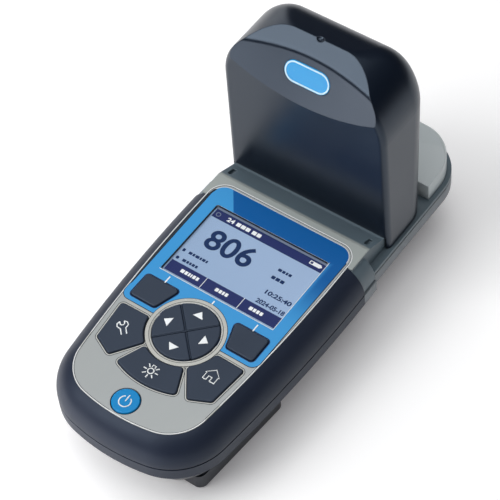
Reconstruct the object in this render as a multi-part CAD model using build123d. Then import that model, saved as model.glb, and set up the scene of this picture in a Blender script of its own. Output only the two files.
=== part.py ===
from build123d import *
import os
from math import cos, radians, sin, sqrt, tan

os.makedirs("parts", exist_ok=True)

# Portable colorimeter, millimetres. X to the right, Y to the rear, Z up.
# The origin lies on the table under the middle of the body's length and width.

# Overall sizes of the body
body_length = 223.0
handle_width = 96.8
waist_width = 95.4
nose_width = 82.8
rear_width = 92.0
body_height = 48.0
handle_length = 138.6
waist_from_nose = 78.1
nose_corner_from_nose = 8.8
nose_corner_radius = 29.0
tail_corner_radius = 23.5
tail_bow = 1.6

# Heights of the layers, from the table up
foot_height = 1.2
belly_height = 6.0
rim_depth = 6.6
hull_slope = 30.0
gasket_thickness = 0.8
gasket_inset = 1.1
gasket_width = 2.2
parting_height = 33.2

# Walls and clearances
wall = 2.4
top_wall = 2.2
hull_wall = 2.8
grip_thickness = 2.0
lower_grip_thickness = 1.2
step_inset = 0.8
edge_round = 14.9
edge_crown = 0.9
running_gap = 0.3
loose_gap = 0.5
seat_gap = 0.1
cut_room = 1.0

# Face plate, window and display
plate_inset = 9.0
plate_thickness = 1.2
plate_end_from_nose = 139.1
plate_corner_radius = 9.0
window_width = 62.6
window_length = 43.8
window_from_nose = 104.3
window_corner_radius = 1.2
glass_margin = 2.0
display_flange = 3.5
display_frame_width = 5.0
glass_thickness = 2.0

# Keys
pad_from_nose = 60.4
pad_radius = 15.4
ring_outer_radius = 18.4
key_travel = 0.9
key_rise = 1.0
power_rise = 0.5
power_from_pad = 43.4
power_radius = 6.4
key_edge_round = 0.7
key_corner_radius = 1.6
stem_radius = 2.0
stem_gap = 0.5
quadrant_gap = 0.5
quadrant_corner_radius = 0.6
quadrant_stem_share = 0.58
ring_key_gap = 0.4
key_foot_room = 0.2
mat_thickness = 1.0
mat_from_nose = 16.0
mat_from_display = 4.5
mat_inset = 2.0

# Main circuit board and key domes
board_thickness = 1.6
board_drop = 4.2
board_inset = 11.4
board_from_nose = 13.0
board_from_step = 8.0
board_boss_x = 31.5
dome_radius = 3.0
dome_height = 0.9

# Display block, sloping deck and tail
rail_end_from_nose = 128.6
ridge_from_nose = 141.8
deck_start_from_nose = 153.2
deck_height = 43.3
deck_half_width = 42.0
flange_thickness = 1.8
slot_length = 5.0
slot_width = 2.4
slot_half_spacing = 38.4
slot_from_ridge = 5.5
tail_inset = 2.4
tail_round = 2.4
tail_front_from_hood = 1.3
crease_from_tail = 24.0
crease_angle = 19.0
ramp_angle = 7.5
cover_wall = 2.0

# Light-shield hood
hood_from_nose = 154.3
hood_depth = 34.0
hood_half_width = 44.6
hood_top = 136.6
hood_wall = 1.8
hood_draft = 1.1
hood_back_slope = 3.7
hood_shoulder_radius = 31.0
hood_crown_round = 18.0
hood_back_round = 14.0
hood_front_round = 3.0
hood_foot_gap = 0.2
crescent_radius = 85.0
crescent_low_height = 108.5
crescent_slope = 21.5
crescent_depth = 12.0
crescent_edge_round = 4.0
bevel_angle = 34.0
crown_from_front = 16.6
crown_back_slope = 17.0
thumb_notch_radius = 2.4
badge_width = 24.0
badge_height = 11.0
badge_thickness = 0.9
badge_sink = 0.5
badge_gap = 0.1
badge_edge_round = 0.3
badge_center_height = 122.0

# Cell compartment and optics, for a one inch round cell
cell_bore_radius = 12.9
cell_guide_gap = 0.2
cell_floor = 1.8
cell_block_width = 40.0
cell_block_depth = 31.0
cell_mouth_chamfer = 1.2
beam_height = 24.0
source_radius = 2.5
source_length = 4.6
detector_radius = 4.1
detector_length = 3.8
beam_aperture = 1.5
optics_board_width = 24.0
optics_board_height = 20.0
optics_board_thickness = 1.6

# Posts and wells of the screws that hold the housings and the board
boss_radius = 3.2
board_boss_from_bay = 10.0
board_boss_from_window = 6.0
front_post_x = 36.4
front_post_from_window = 15.9
middle_post_x = 30.0
middle_post_from_step = 8.0
rear_post_x = 24.0
rear_post_from_tail = 21.5
post_overlap = 0.4
screw_well_top = 15.5
well_wall = 1.5
well_roof = 3.0
screw_end_room = 0.4

# Battery bay for four AA cells lying side by side along the body
bay_front_from_nose = 19.8
bay_rear_from_nose = 77.6
bay_front_half_width = 34.0
bay_rear_half_width = 38.4
bay_corner_radius = 4.0
bay_pad_rise = 4.0
cavity_corner_radius = 1.5
cells_side_room = 0.8
bay_wall = 1.6
bay_roof = 1.8
bay_ledge = 2.0
bay_ledge_reach = 1.8
aa_diameter = 14.2
aa_pitch = 14.8
aa_body_length = 49.4
aa_nub_length = 1.0
aa_nub_radius = 2.7
aa_edge_chamfer = 0.6
aa_count = 4
contact_thickness = 0.4
contact_half_height = 5.0
contact_side_gap = 1.2
spring_base_radius = 4.6
spring_tip_radius = 2.8
spring_bore_radius = 2.0
door_thickness = 2.0
door_margin = 1.6
door_gap = 0.3
door_edge_chamfer = 0.5
tab_width = 9.0
tab_reach = 1.0
tab_thickness = 1.0
tab_half_spacing = 16.0
seal_edge = 0.4
seal_width = 1.0
seal_height = 1.0
screw_head_radius = 2.6
screw_head_height = 1.4
screw_shank_radius = 1.3
screw_head_chamfer = 0.4
screw_recess_radius = 1.3
screw_recess_depth = 0.8
door_screw_length = 6.0
housing_screw_length = 21.0

# Feet, rear skid and the socket at the tail
foot_radius = 5.0
foot_recess = 0.8
foot_chamfer = 0.5
front_foot_inset = 4.0
front_foot_from_bay = 16.0
foot_half_spacing = 24.0
skid_half_width = 31.0
skid_length = 20.0
skid_corner_radius = 5.0
skid_from_tail = 36.0
usb_width = 8.0
usb_height = 3.2
usb_depth = 6.4
usb_wall = 0.5
usb_above_flange = 2.6
module_from_tail = 19.0
module_width = 34.0
module_depth = 14.0
cap_width = 15.0
cap_height = 5.6
cap_thickness = 1.4
cap_plug_depth = 1.6
cap_gap = 0.15
cap_corner_radius = 2.0
tongue_thickness = 0.8
tongue_setback = 2.0
module_board_thickness = 1.2
shield_width = 18.0
shield_depth = 10.0
shield_height = 2.2
port_opening_depth = 8.0

# Stations along the body and layer heights worked out from the sizes above
front_y = -body_length / 2
tail_y = body_length / 2
step_y = front_y + handle_length
pad_y = front_y + pad_from_nose
window_y = front_y + window_from_nose
rail_end_y = front_y + rail_end_from_nose
plate_end_y = front_y + plate_end_from_nose
ridge_y = front_y + ridge_from_nose
deck_start_y = front_y + deck_start_from_nose
hood_y = front_y + hood_from_nose
hood_back_y = hood_y + hood_depth
cell_y = hood_y + hood_depth / 2
tail_front_y = hood_back_y + tail_front_from_hood
deck_end_y = hood_back_y - hood_wall - loose_gap
bay_front_y = front_y + bay_front_from_nose
bay_rear_y = front_y + bay_rear_from_nose
bay_y = (bay_front_y + bay_rear_y) / 2
rim_bottom = parting_height - rim_depth
upper_base = parting_height + gasket_thickness
flange_top = upper_base + flange_thickness
plate_base = body_height - plate_thickness
wall_base = plate_base - top_wall
mat_base = wall_base - mat_thickness
board_top = wall_base - board_drop
board_base = board_top - board_thickness
hull_floor = belly_height + hull_wall
hood_foot_z = flange_top + hood_foot_gap
hood_front_foot_z = deck_height + hood_foot_gap
ledge_top = foot_height + door_thickness + bay_ledge
usb_z = flange_top + usb_above_flange
module_y = tail_y - module_from_tail
far = 400.0


def save(node, shape):
    """Write one piece, or one group of equal pieces, to its own file."""
    export_step(shape, f"parts/{node}.step")


def slab(sketch, low, high):
    """A plate with the given plan between two heights."""
    return extrude(Pos(0, 0, low) * sketch, high - low)


def band(y_low, y_high):
    """Everything between two stations along the body, as a plan."""
    return Pos(0, (y_low + y_high) / 2) * Rectangle(far, y_high - y_low)


def mirrored(shape):
    """The same shape on the other side of the body."""
    return mirror(shape, about=Plane.YZ)


def box_between(low, high):
    """A box from its lowest to its highest corner."""
    size = [b - a for a, b in zip(low, high)]
    middle = [(a + b) / 2 for a, b in zip(low, high)]
    return Pos(*middle) * Box(*size)


# Outlines in plan, whose arcs keep their middles when the outline is drawn in
def circle_through(a, b, c):
    """Middle and radius of the circle through three points."""
    (ax, ay), (bx, by), (cx, cy) = a, b, c
    twice = 2 * (ax * (by - cy) + bx * (cy - ay) + cx * (ay - by))
    a2, b2, c2 = ax * ax + ay * ay, bx * bx + by * by, cx * cx + cy * cy
    mid_x = (a2 * (by - cy) + b2 * (cy - ay) + c2 * (ay - by)) / twice
    mid_y = (a2 * (cx - bx) + b2 * (ax - cx) + c2 * (bx - ax)) / twice
    return (mid_x, mid_y), sqrt((ax - mid_x) ** 2 + (ay - mid_y) ** 2)


def toward(start, end, distance):
    """The point at a distance from the start, on the way to the end."""
    dx, dy = end[0] - start[0], end[1] - start[1]
    share = distance / sqrt(dx * dx + dy * dy)
    return start[0] + dx * share, start[1] + dy * share


def lower_meeting(middle_a, reach_a, middle_b, reach_b):
    """The lower one of the two points that lie at given distances from two middles."""
    (ax, ay), (bx, by) = middle_a, middle_b
    gap = sqrt((bx - ax) ** 2 + (by - ay) ** 2)
    along = (reach_a ** 2 - reach_b ** 2 + gap ** 2) / (2 * gap)
    aside = sqrt(reach_a ** 2 - along ** 2)
    foot_x, foot_y = toward(middle_a, middle_b, along)
    side_x, side_y = (by - ay) / gap * aside, (ax - bx) / gap * aside
    return min((foot_x + side_x, foot_y + side_y), (foot_x - side_x, foot_y - side_y), key=lambda p: p[1])


def arc_about(middle, start, end, radius):
    """The arc about a middle between two points, the short way round."""
    half_way = ((start[0] + end[0]) / 2, (start[1] + end[1]) / 2)
    return ThreePointArc(start, toward(middle, half_way, radius), end)


def face_from_half(edges):
    """A symmetric plan from the edges of its right half."""
    outline = Curve() + edges
    return make_face(outline + mirror(outline, about=Plane.YZ))


def handle_outline(inset=0.0, end_y=step_y):
    """Barrel-shaped plan of the handle, drawn in by the inset and cut square at its end."""
    wide = (handle_width / 2, step_y)
    waist = (waist_width / 2, front_y + waist_from_nose)
    nose = (nose_width / 2, front_y + nose_corner_from_nose)
    side_middle, side_radius = circle_through(wide, waist, nose)
    front_middle, front_radius = circle_through(nose, (0, front_y), (-nose[0], nose[1]))
    corner = lower_meeting(side_middle, side_radius - nose_corner_radius,
                           front_middle, front_radius - nose_corner_radius)
    side_end = toward(side_middle, corner, side_radius - inset)
    front_end = toward(front_middle, corner, front_radius - inset)
    end_x = side_middle[0] + sqrt((side_radius - inset) ** 2 - (end_y - side_middle[1]) ** 2)
    edges = [Line((0, end_y), (end_x, end_y)),
             arc_about(side_middle, (end_x, end_y), side_end, side_radius - inset),
             arc_about(corner, side_end, front_end, nose_corner_radius - inset),
             arc_about(front_middle, front_end, (0, front_y + inset), front_radius - inset)]
    return face_from_half(edges)


def rear_outline(inset=0.0, start_y=rail_end_y):
    """Plan of the rear half: straight sides and a softly bowed tail with round corners."""
    half = rear_width / 2
    side_y = tail_y - tail_bow
    tail_middle, tail_radius = circle_through((half, side_y), (0, tail_y), (-half, side_y))
    corner_x = half - tail_corner_radius
    corner = (corner_x, tail_middle[1] + sqrt((tail_radius - tail_corner_radius) ** 2 - corner_x ** 2))
    side_end = (half - inset, corner[1])
    tail_end = toward(tail_middle, corner, tail_radius - inset)
    edges = [Line((0, start_y), (half - inset, start_y)),
             Line((half - inset, start_y), side_end),
             arc_about(corner, side_end, tail_end, tail_corner_radius - inset),
             arc_about(tail_middle, tail_end, (0, tail_y - inset), tail_radius - inset)]
    return face_from_half(edges)


def body_outline(inset=0.0):
    """Plan of the whole body: the handle, then the narrower rear half."""
    return handle_outline(inset, step_y - inset) + rear_outline(inset)


def plate_outline(inset=0.0):
    """Plan of the face plate, an even border inside the handle."""
    plan = handle_outline(plate_inset, plate_end_y)
    corners = plan.vertices().sort_by(Axis.Y)[-2:]
    plan = fillet(corners, plate_corner_radius)
    return offset(plan, -inset) if inset else plan


def window_outline(grow=0.0):
    """Plan of the display window."""
    size = (window_width + 2 * grow, window_length + 2 * grow)
    return Pos(0, window_y) * RectangleRounded(*size, window_corner_radius + max(grow, 0))


# Key outlines, each grown by a gap where it is used as an opening
def disc_at_pad(radius):
    """A circle round the middle of the arrow pad."""
    return Pos(0, pad_y) * Circle(radius)


def key_shape(points, corner_radius=key_corner_radius):
    """A key plan from corners given from the middle of the arrow pad, hollowed by the ring."""
    plan = Pos(0, pad_y) * make_face(Polyline(*points, close=True))
    plan = plan - disc_at_pad(ring_outer_radius + ring_key_gap)
    return fillet(plan.vertices(), corner_radius)


def side_key():
    """The five-sided key beside the arrow pad, on the right."""
    return key_shape([(33.9, -2.7), (17.2, -2.4), (11.2, -14.1), (21.6, -28.3), (31.8, -23.5)])


def lamp_key():
    """The fan-shaped key below the arrow pad, with a bowed lower edge."""
    low = ThreePointArc((-16.4, -29.0), (0, -32.4), (16.4, -29.0))
    rest = Polyline((16.4, -29.0), (10.4, -15.2), (-10.4, -15.2), (-16.4, -29.0))
    plan = Pos(0, pad_y) * make_face(Curve() + [low, rest])
    plan = plan - disc_at_pad(ring_outer_radius + ring_key_gap)
    return fillet(plan.vertices(), key_corner_radius)


def soft_key():
    """The four-sided key below the display, on the right."""
    return key_shape([(33.9, 16.3), (15.4, 16.3), (19.8, 2.9), (33.9, 2.9)])


def power_key():
    """The round key at the nose."""
    return Pos(0, pad_y - power_from_pad) * Circle(power_radius)


def quadrant_key(angle):
    """One quarter of the arrow pad, between the diagonals; angle 0 is the upper one."""
    reach = 2 * pad_radius
    start = quadrant_gap / 2 * sqrt(2)
    wedge = make_face(Polyline((0, start), (reach, start + reach), (-reach, start + reach), close=True))
    plan = fillet((Circle(pad_radius) & wedge).vertices(), quadrant_corner_radius)
    return Pos(0, pad_y) * Rot(0, 0, angle) * plan


def key_plans():
    """Every key: its name, its plan, how far it stands up and where its stem is."""
    lever = pad_radius * quadrant_stem_share
    keys = {
        "soft_key_right": (soft_key(), key_rise, (26.0, 9.6)),
        "soft_key_left": (mirrored(soft_key()), key_rise, (-26.0, 9.6)),
        "home_key": (side_key(), key_rise, (25.0, -14.5)),
        "settings_key": (mirrored(side_key()), key_rise, (-25.0, -14.5)),
        "backlight_key": (lamp_key(), key_rise, (0, -25.0)),
        "power_key": (power_key(), power_rise, (0, -power_from_pad)),
    }
    for name, angle in (("up", 0), ("left", 90), ("down", 180), ("right", 270)):
        place = (-lever * sin(radians(angle)), lever * cos(radians(angle)))
        keys[f"arrow_key_{name}"] = (quadrant_key(angle), key_rise, place)
    return keys


def stem_spots(keys):
    """The stem positions of all keys, in the body's frame."""
    return [(x, y + pad_y) for _, _, (x, y) in keys.values()]


def key_openings(keys, gap):
    """The openings in the plate and the wall: one disc for the arrow pad, one for each other key."""
    openings = disc_at_pad(pad_radius + gap)
    for name, (plan, _, _) in keys.items():
        if not name.startswith("arrow_key"):
            openings = openings + offset(plan, gap)
    return openings


def make_key(plan, rise, spot):
    """A moulded key cap with soft edges and a round stem that presses its dome."""
    top = body_height + rise
    low = wall_base + key_travel + key_foot_room
    cap = slab(plan, low, top)
    cap = fillet(cap.edges().group_by(Axis.Z)[-1], key_edge_round)
    stem_low = board_top + dome_height + key_travel + seat_gap
    x, y = spot
    stem = Pos(x, y + pad_y) * slab(Circle(stem_radius), stem_low, low)
    return cap + stem


# Housings
def handle_form(inset, top, end_y, start_y=-far):
    """Upper handle form: the plan raised from the parting plane, its top edge well rounded."""
    solid = slab(handle_outline(inset, step_y + 40), upper_base - 5.0, top + edge_crown)
    rim = solid.edges().group_by(Axis.Z)[-1].sort_by(Axis.Y)[:-1]
    solid = fillet(rim, edge_round - inset)
    return solid & slab(band(start_y, end_y), upper_base, top)


def hull_form(inset):
    """Lower form: an upright rim under the parting plane, then sides that slope in to the belly."""
    low = belly_height + inset
    spread = inset + (rim_bottom - low) * tan(radians(hull_slope))
    form = slab(body_outline(inset), rim_bottom, parting_height)
    for outline in (handle_outline, rear_outline):
        sections = [Pos(0, 0, rim_bottom) * outline(inset), Pos(0, 0, low) * outline(spread)]
        form = form + loft(sections, ruled=True)
    return form


def bay_outline(inset=0.0):
    """Plan of the battery bay under the handle, wider to the rear like the handle itself."""
    corners = [(-bay_front_half_width, bay_front_y), (bay_front_half_width, bay_front_y),
               (bay_rear_half_width, bay_rear_y), (-bay_rear_half_width, bay_rear_y)]
    plan = make_face(Polyline(*corners, close=True))
    plan = fillet(plan.vertices(), bay_corner_radius)
    return offset(plan, -inset) if inset else plan


aa_center_z = ledge_top + seat_gap + aa_diameter / 2
bay_inner_width = aa_count * aa_pitch + cells_side_room
bay_inner_length = bay_rear_y - bay_front_y - 2 * bay_wall
bay_inner_top = aa_center_z + aa_diameter / 2 + running_gap
skid_y = tail_y - skid_from_tail
bay_pad_top = belly_height + bay_pad_rise


def door_outline(inset=0.0):
    """Plan of the battery door, which fills the underside of the bay inside a narrow border."""
    return bay_outline(door_margin + inset)


def bay_cavity_outline(shorter=0.0):
    """Plan of the room for the cells, or of its shorter mouth."""
    length = bay_inner_length - 2 * shorter
    return Pos(0, bay_y) * RectangleRounded(bay_inner_width, length, cavity_corner_radius)


def door_tabs(gap=0.0):
    """The two tabs at the front edge of the door, or the pockets that take them."""
    edge_y = bay_front_y + door_margin
    top = foot_height + door_thickness + gap
    tab = box_between((-tab_width / 2 - gap, edge_y - tab_reach - gap, top - tab_thickness - 2 * gap),
                      (tab_width / 2 + gap, edge_y + 2.0, top))
    return Pos(tab_half_spacing, 0, 0) * tab + Pos(-tab_half_spacing, 0, 0) * tab


def skid_outline():
    """Plan of the low rear skid that carries the two rear feet."""
    return Pos(0, skid_y) * RectangleRounded(2 * skid_half_width, skid_length, skid_corner_radius)


def door_screw_spots():
    """The two screws at the rear corners of the battery door."""
    x = (bay_inner_width / 2 + bay_rear_half_width - door_margin) / 2
    y = bay_rear_y - door_margin - screw_head_radius - 1.0
    return [(-x, y), (x, y)]


def board_boss_spots():
    """The posts of the lower housing that carry the main circuit board."""
    front = bay_front_y + board_boss_from_bay
    rear = window_y + window_length / 2 - board_boss_from_window
    return [(side * board_boss_x, y) for y in (front, rear) for side in (-1, 1)]


def housing_posts():
    """The posts of the six screws that draw the housings together: place and top of each."""
    middle_row_y = step_y + middle_post_from_step
    slope = (body_height - deck_height) / (deck_start_y - ridge_y)
    slope_top = deck_height + slope * (deck_start_y - middle_row_y - boss_radius) - top_wall / 2
    rows = ((front_post_x, window_y - front_post_from_window, wall_base + post_overlap),
            (middle_post_x, middle_row_y, slope_top),
            (rear_post_x, tail_y - rear_post_from_tail, flange_top + flange_thickness))
    return [(side * x, y, top) for x, y, top in rows for side in (-1, 1)]


def housing_screw_spots():
    """The places of the six housing screws."""
    return [(x, y) for x, y, _ in housing_posts()]


def make_lower_housing():
    """Hull-shaped lower shell with battery box, rear skid, board posts and screw posts."""
    bay_pad = slab(bay_outline(), foot_height, bay_pad_top)
    skid = slab(skid_outline(), foot_height, hull_floor)
    box_top = bay_inner_top + bay_roof
    inside = bay_pad + skid + slab(offset(bay_cavity_outline(), bay_wall), foot_height, box_top)
    well_radius = screw_head_radius + loose_gap + well_wall
    for x, y in housing_screw_spots():
        inside = inside + Pos(x, y) * slab(Circle(well_radius), belly_height, screw_well_top + well_roof)
        inside = inside + Pos(x, y) * slab(Circle(boss_radius), hull_floor, parting_height - running_gap)
    for x, y in board_boss_spots():
        inside = inside + Pos(x, y) * slab(Circle(boss_radius), belly_height + wall, board_base)
    outer = hull_form(0.0)
    within = outer + bay_pad + skid + slab(body_outline(hull_wall), rim_bottom, far)
    shell = outer - hull_form(hull_wall) + (inside & within)
    shell = shell - lower_grip_form(lower_grip_thickness)
    shell = shell - slab(bay_cavity_outline(), ledge_top, bay_inner_top)
    shell = shell - slab(bay_cavity_outline(bay_ledge_reach), 0, ledge_top)
    shell = shell - slab(door_outline(-door_gap), 0, foot_height + door_thickness) - door_tabs(seat_gap)
    seat = foot_height + door_thickness
    seal_ring = door_outline(seal_edge) - door_outline(seal_edge + seal_width)
    shell = shell - slab(seal_ring, seat, seat + seal_height)
    for x, y in rear_foot_spots():
        shell = shell - Pos(x, y) * slab(Circle(foot_radius + seat_gap), 0, foot_height + foot_recess)
    for x, y in housing_screw_spots():
        shell = shell - Pos(x, y) * slab(Circle(screw_head_radius + loose_gap), 0, screw_well_top)
        shell = shell - Pos(x, y) * slab(Circle(screw_shank_radius + seat_gap), 0, upper_base)
    hole_top = foot_height + door_screw_length + screw_end_room
    for x, y in door_screw_spots():
        shell = shell - Pos(x, y) * slab(Circle(screw_shank_radius + seat_gap), 0, hole_top)
    return shell


def rear_foot_spots():
    """The two rubber feet on the rear skid."""
    return [(-foot_half_spacing, skid_y), (foot_half_spacing, skid_y)]


def front_foot_spots():
    """The two rubber feet on the battery door."""
    x, y = foot_half_spacing - front_foot_inset, bay_front_y + front_foot_from_bay
    return [(-x, y), (x, y)]


def deck_form(inset):
    """Display ridge and the deck behind it, sloping down to the cell compartment."""
    top = body_height - inset
    low_top = deck_height - inset
    end_y = hood_back_y
    profile = make_face(Polyline((rail_end_y, upper_base), (rail_end_y, top), (ridge_y - inset / 2, top),
                                 (deck_start_y - inset / 2, low_top), (end_y, low_top), (end_y, upper_base),
                                 close=True))
    solid = extrude(Plane.YZ * profile, far / 2, both=True)
    plan = Pos(0, (step_y + deck_end_y) / 2) * Rectangle(2 * deck_half_width, deck_end_y - rail_end_y + 20.0)
    plan = plan & band(rail_end_y, deck_end_y)
    corners = plan.vertices().sort_by(Axis.Y)[-2:]
    plan = fillet(corners, hood_back_round - hood_wall - loose_gap)
    if inset:
        plan = offset(plan, -inset)
    return solid & slab(plan, upper_base, far)


def ramp_cuts():
    """Wedges that slope the front of the tail down to the left and to the right of its middle."""
    crease_y = tail_y - crease_from_tail
    block = Pos(0, -far / 2, far / 2) * Box(far, far, far)
    wedge = Rot(ramp_angle, 0, 0) * block
    right = Pos(0, crease_y, body_height) * Rot(0, 0, crease_angle) * wedge
    right = right & box_between((0, -far, 0), (far, far, far))
    return right + mirrored(right)


def tail_form(inset, top):
    """Raised tail behind the hood, its top edge rounded."""
    plan = rear_outline(tail_inset + inset, step_y) & band(tail_front_y + inset, far)
    solid = slab(plan, flange_top, top)
    return fillet(solid.edges().group_by(Axis.Z)[-1], tail_round)


def make_upper_housing(keys):
    """Upper shell: keypad wall, display block, sloping deck round the cell and rear flange."""
    front = handle_form(grip_thickness, plate_base, rail_end_y)
    block = handle_form(step_inset, body_height, step_y, rail_end_y)
    flange = slab(rear_outline(), upper_base, flange_top)
    handle_room = handle_form(grip_thickness + wall, wall_base, step_y - wall)
    ridge_room = deck_form(top_wall) & slab(band(step_y - 2 * wall, hood_y), 0, far)
    room = handle_room + ridge_room
    shell = front + block + flange + deck_form(0.0) - room
    hole_top = screw_well_top + housing_screw_length + screw_end_room
    for x, y, top in housing_posts():
        shell = shell + Pos(x, y) * slab(Circle(boss_radius), upper_base, top)
        shell = shell - Pos(x, y) * slab(Circle(screw_shank_radius), 0, hole_top)
    shell = shell - slab(plate_outline(-0.05), plate_base, far)
    shell = shell - slab(key_openings(keys, running_gap), wall_base - cut_room, far)
    shell = shell - slab(window_outline(-glass_margin), wall_base - cut_room, far)
    guide = cell_bore_radius + cell_guide_gap
    shell = shell - Pos(0, cell_y) * slab(Circle(guide), 0, far)
    shell = shell - Pos(0, cell_y, deck_height - cell_mouth_chamfer / 2) * Cone(
        guide, guide + cell_mouth_chamfer, cell_mouth_chamfer)
    for side in (-1, 1):
        spot = Pos(side * slot_half_spacing, ridge_y + slot_from_ridge, 0)
        shell = shell - spot * slab(RectangleRounded(slot_width, slot_length, 0.8), deck_height, far)
    return shell


def make_grip():
    """Soft overmould round the nose and along both sides of the keypad, in one U-shaped skin."""
    skin = handle_form(0.0, body_height, rail_end_y)
    skin = skin - handle_form(grip_thickness, plate_base, rail_end_y + cut_room)
    return skin - slab(plate_outline(-0.05), 0, far)


def lower_grip_form(depth):
    """The band of the rim that the lower overmould covers."""
    ring = handle_outline(0.0, rail_end_y) - handle_outline(depth, rail_end_y)
    return slab(ring, rim_bottom, parting_height)


def make_lower_grip():
    """Soft overmould on the rim of the lower housing."""
    return lower_grip_form(lower_grip_thickness)


def make_gasket():
    """Seal that fills the groove between the housings."""
    outer = body_outline(gasket_inset)
    inner = body_outline(gasket_inset + gasket_width)
    return slab(outer - inner, parting_height, upper_base)


def make_face_plate(keys):
    """Thin plate with the key openings, the window opening and softly broken edges."""
    plate = slab(plate_outline(), plate_base, body_height)
    plate = plate - slab(key_openings(keys, running_gap), 0, far)
    return plate - slab(window_outline(0.05), 0, far)


def make_keypad_mat(keys):
    """Silicone sheet under the keypad wall, pierced for the stems."""
    low_y = front_y + mat_from_nose
    plan = handle_outline(plate_inset + mat_inset, window_y - window_length / 2 - mat_from_display)
    plan = plan & band(low_y, far)
    mat = slab(plan, mat_base, wall_base)
    for x, y in stem_spots(keys):
        mat = mat - Pos(x, y) * slab(Circle(stem_radius + stem_gap), 0, far)
    return mat


def make_domes(keys):
    """Snap domes on the board, one under each stem."""
    height = dome_height
    sphere = (dome_radius ** 2 + height ** 2) / (2 * height)
    layer = Pos(0, 0, height / 2) * Box(3 * dome_radius, 3 * dome_radius, height)
    cap = Pos(0, 0, height - sphere) * Sphere(sphere) & layer
    return Compound([Pos(x, y, board_top) * cap.solids()[0] for x, y in stem_spots(keys)])


def make_main_board():
    """Main circuit board with a notch round each screw post that passes it."""
    plan = handle_outline(board_inset, step_y - board_from_step)
    plan = plan & band(front_y + board_from_nose, far)
    for x, y in housing_screw_spots():
        plan = plan - Pos(x, y) * Circle(boss_radius + loose_gap)
    return slab(plan, board_base, board_top)


def make_display_module():
    """Liquid-crystal module: the glass in the wall's opening and the frame below it."""
    glass = slab(window_outline(-glass_margin - running_gap), wall_base - cut_room, plate_base - seat_gap)
    frame_plan = window_outline(display_flange - glass_margin)
    frame = slab(frame_plan, board_top, wall_base)
    hollow = slab(window_outline(-display_frame_width), board_top, wall_base - glass_thickness)
    return glass + frame - hollow


def make_window():
    """Clear window, flush with the face plate."""
    return slab(window_outline(), plate_base, body_height)


# Cell compartment
def make_cell_holder():
    """Black optical block with the round bore for the sample cell and its light passages."""
    holder = Pos(0, cell_y) * slab(RectangleRounded(cell_block_width, cell_block_depth, 3.0),
                                   hull_floor, upper_base)
    holder = holder - Pos(0, cell_y) * slab(Circle(cell_bore_radius), hull_floor + cell_floor, far)
    half = cell_block_width / 2
    beam = Pos(0, cell_y, beam_height) * Rot(0, 90, 0)
    holder = holder - beam * Cylinder(beam_aperture, cell_block_width)
    holder = holder - Pos(-half + source_length / 2, cell_y, beam_height) * Rot(0, 90, 0) * Cylinder(
        source_radius + seat_gap, source_length)
    return holder - Pos(half - detector_length / 2, cell_y, beam_height) * Rot(0, 90, 0) * Cylinder(
        detector_radius + seat_gap, detector_length)


def make_light_source():
    """Round light-emitting diode in its pocket, domed towards the cell."""
    half = cell_block_width / 2
    straight = source_length - source_radius - 0.1
    body = Pos(-half + straight / 2, cell_y, beam_height) * Rot(0, 90, 0) * Cylinder(source_radius, straight)
    dome = Pos(-half + straight, cell_y, beam_height) * Sphere(source_radius)
    dome = dome & box_between((-half + straight, -far, 0), (far, far, far))
    return body + dome


def make_detector():
    """Photodiode in a round can."""
    half = cell_block_width / 2
    length = detector_length - seat_gap
    return Pos(half - length / 2, cell_y, beam_height) * Rot(0, 90, 0) * Cylinder(detector_radius, length)


def make_optics_board(side):
    """Small upright board on one side of the optical block."""
    inner = side * cell_block_width / 2
    outer = inner + side * optics_board_thickness
    low = (min(inner, outer), cell_y - optics_board_width / 2, beam_height - optics_board_height / 2)
    high = (max(inner, outer), cell_y + optics_board_width / 2, beam_height + optics_board_height / 2)
    return box_between(low, high)


# Battery compartment
def aa_spots():
    """Middle lines of the cells, and which way each one faces."""
    first = -(aa_count - 1) / 2 * aa_pitch
    return [(first + i * aa_pitch, 1 if i % 2 else -1) for i in range(aa_count)]


def make_cell(direction):
    """One AA cell about its own middle, its nub towards the given end."""
    radius, half = aa_diameter / 2, aa_body_length / 2
    edge, nub_end = aa_edge_chamfer, half + aa_nub_length
    profile = make_face(Polyline((0, -half), (radius - edge, -half), (radius, -half + edge),
                                 (radius, half - edge), (radius - edge, half), (aa_nub_radius, half),
                                 (aa_nub_radius, nub_end), (0, nub_end), close=True))
    cell = revolve(Plane.XZ * profile, Axis.Z)
    return Rot(-90 * direction, 0, 0) * cell


cell_front_y = bay_front_y + bay_wall + contact_thickness
cell_rear_y = bay_rear_y - bay_wall - contact_thickness


def cell_middle(direction):
    """Where a cell's middle lies: its nub touches one contact and a spring fills the other end."""
    half = aa_body_length / 2
    if direction > 0:
        return cell_rear_y - aa_nub_length - half - seat_gap
    return cell_front_y + aa_nub_length + half + seat_gap


def make_battery_cells():
    """Four cells, each turned end for end from its neighbour."""
    return Compound([Pos(x, cell_middle(d), aa_center_z) * make_cell(d) for x, d in aa_spots()])


def make_contact_plates():
    """Spring-steel plates at both ends of the compartment."""
    plates = []
    half = aa_pitch / 2 - contact_side_gap
    low, high = aa_center_z - contact_half_height, aa_center_z + contact_half_height
    for x, _ in aa_spots():
        for y in (bay_front_y + bay_wall, cell_rear_y):
            plates.append(box_between((x - half, y, low), (x + half, y + contact_thickness, high)))
    return Compound(plates)


def make_contact_springs():
    """Conical springs that press each cell towards its nub, as turned cones with a bore."""
    springs = []
    for x, d in aa_spots():
        gap_start = cell_front_y if d > 0 else cell_rear_y
        length = abs(cell_middle(d) - d * aa_body_length / 2 - gap_start) - seat_gap
        cone = Cone(spring_base_radius, spring_tip_radius, length) - Cylinder(spring_bore_radius, length)
        middle_y = gap_start + d * length / 2
        springs.append(Pos(x, middle_y, aa_center_z) * Rot(-90 * d, 0, 0) * cone)
    return Compound([s.solids()[0] for s in springs])


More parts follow.
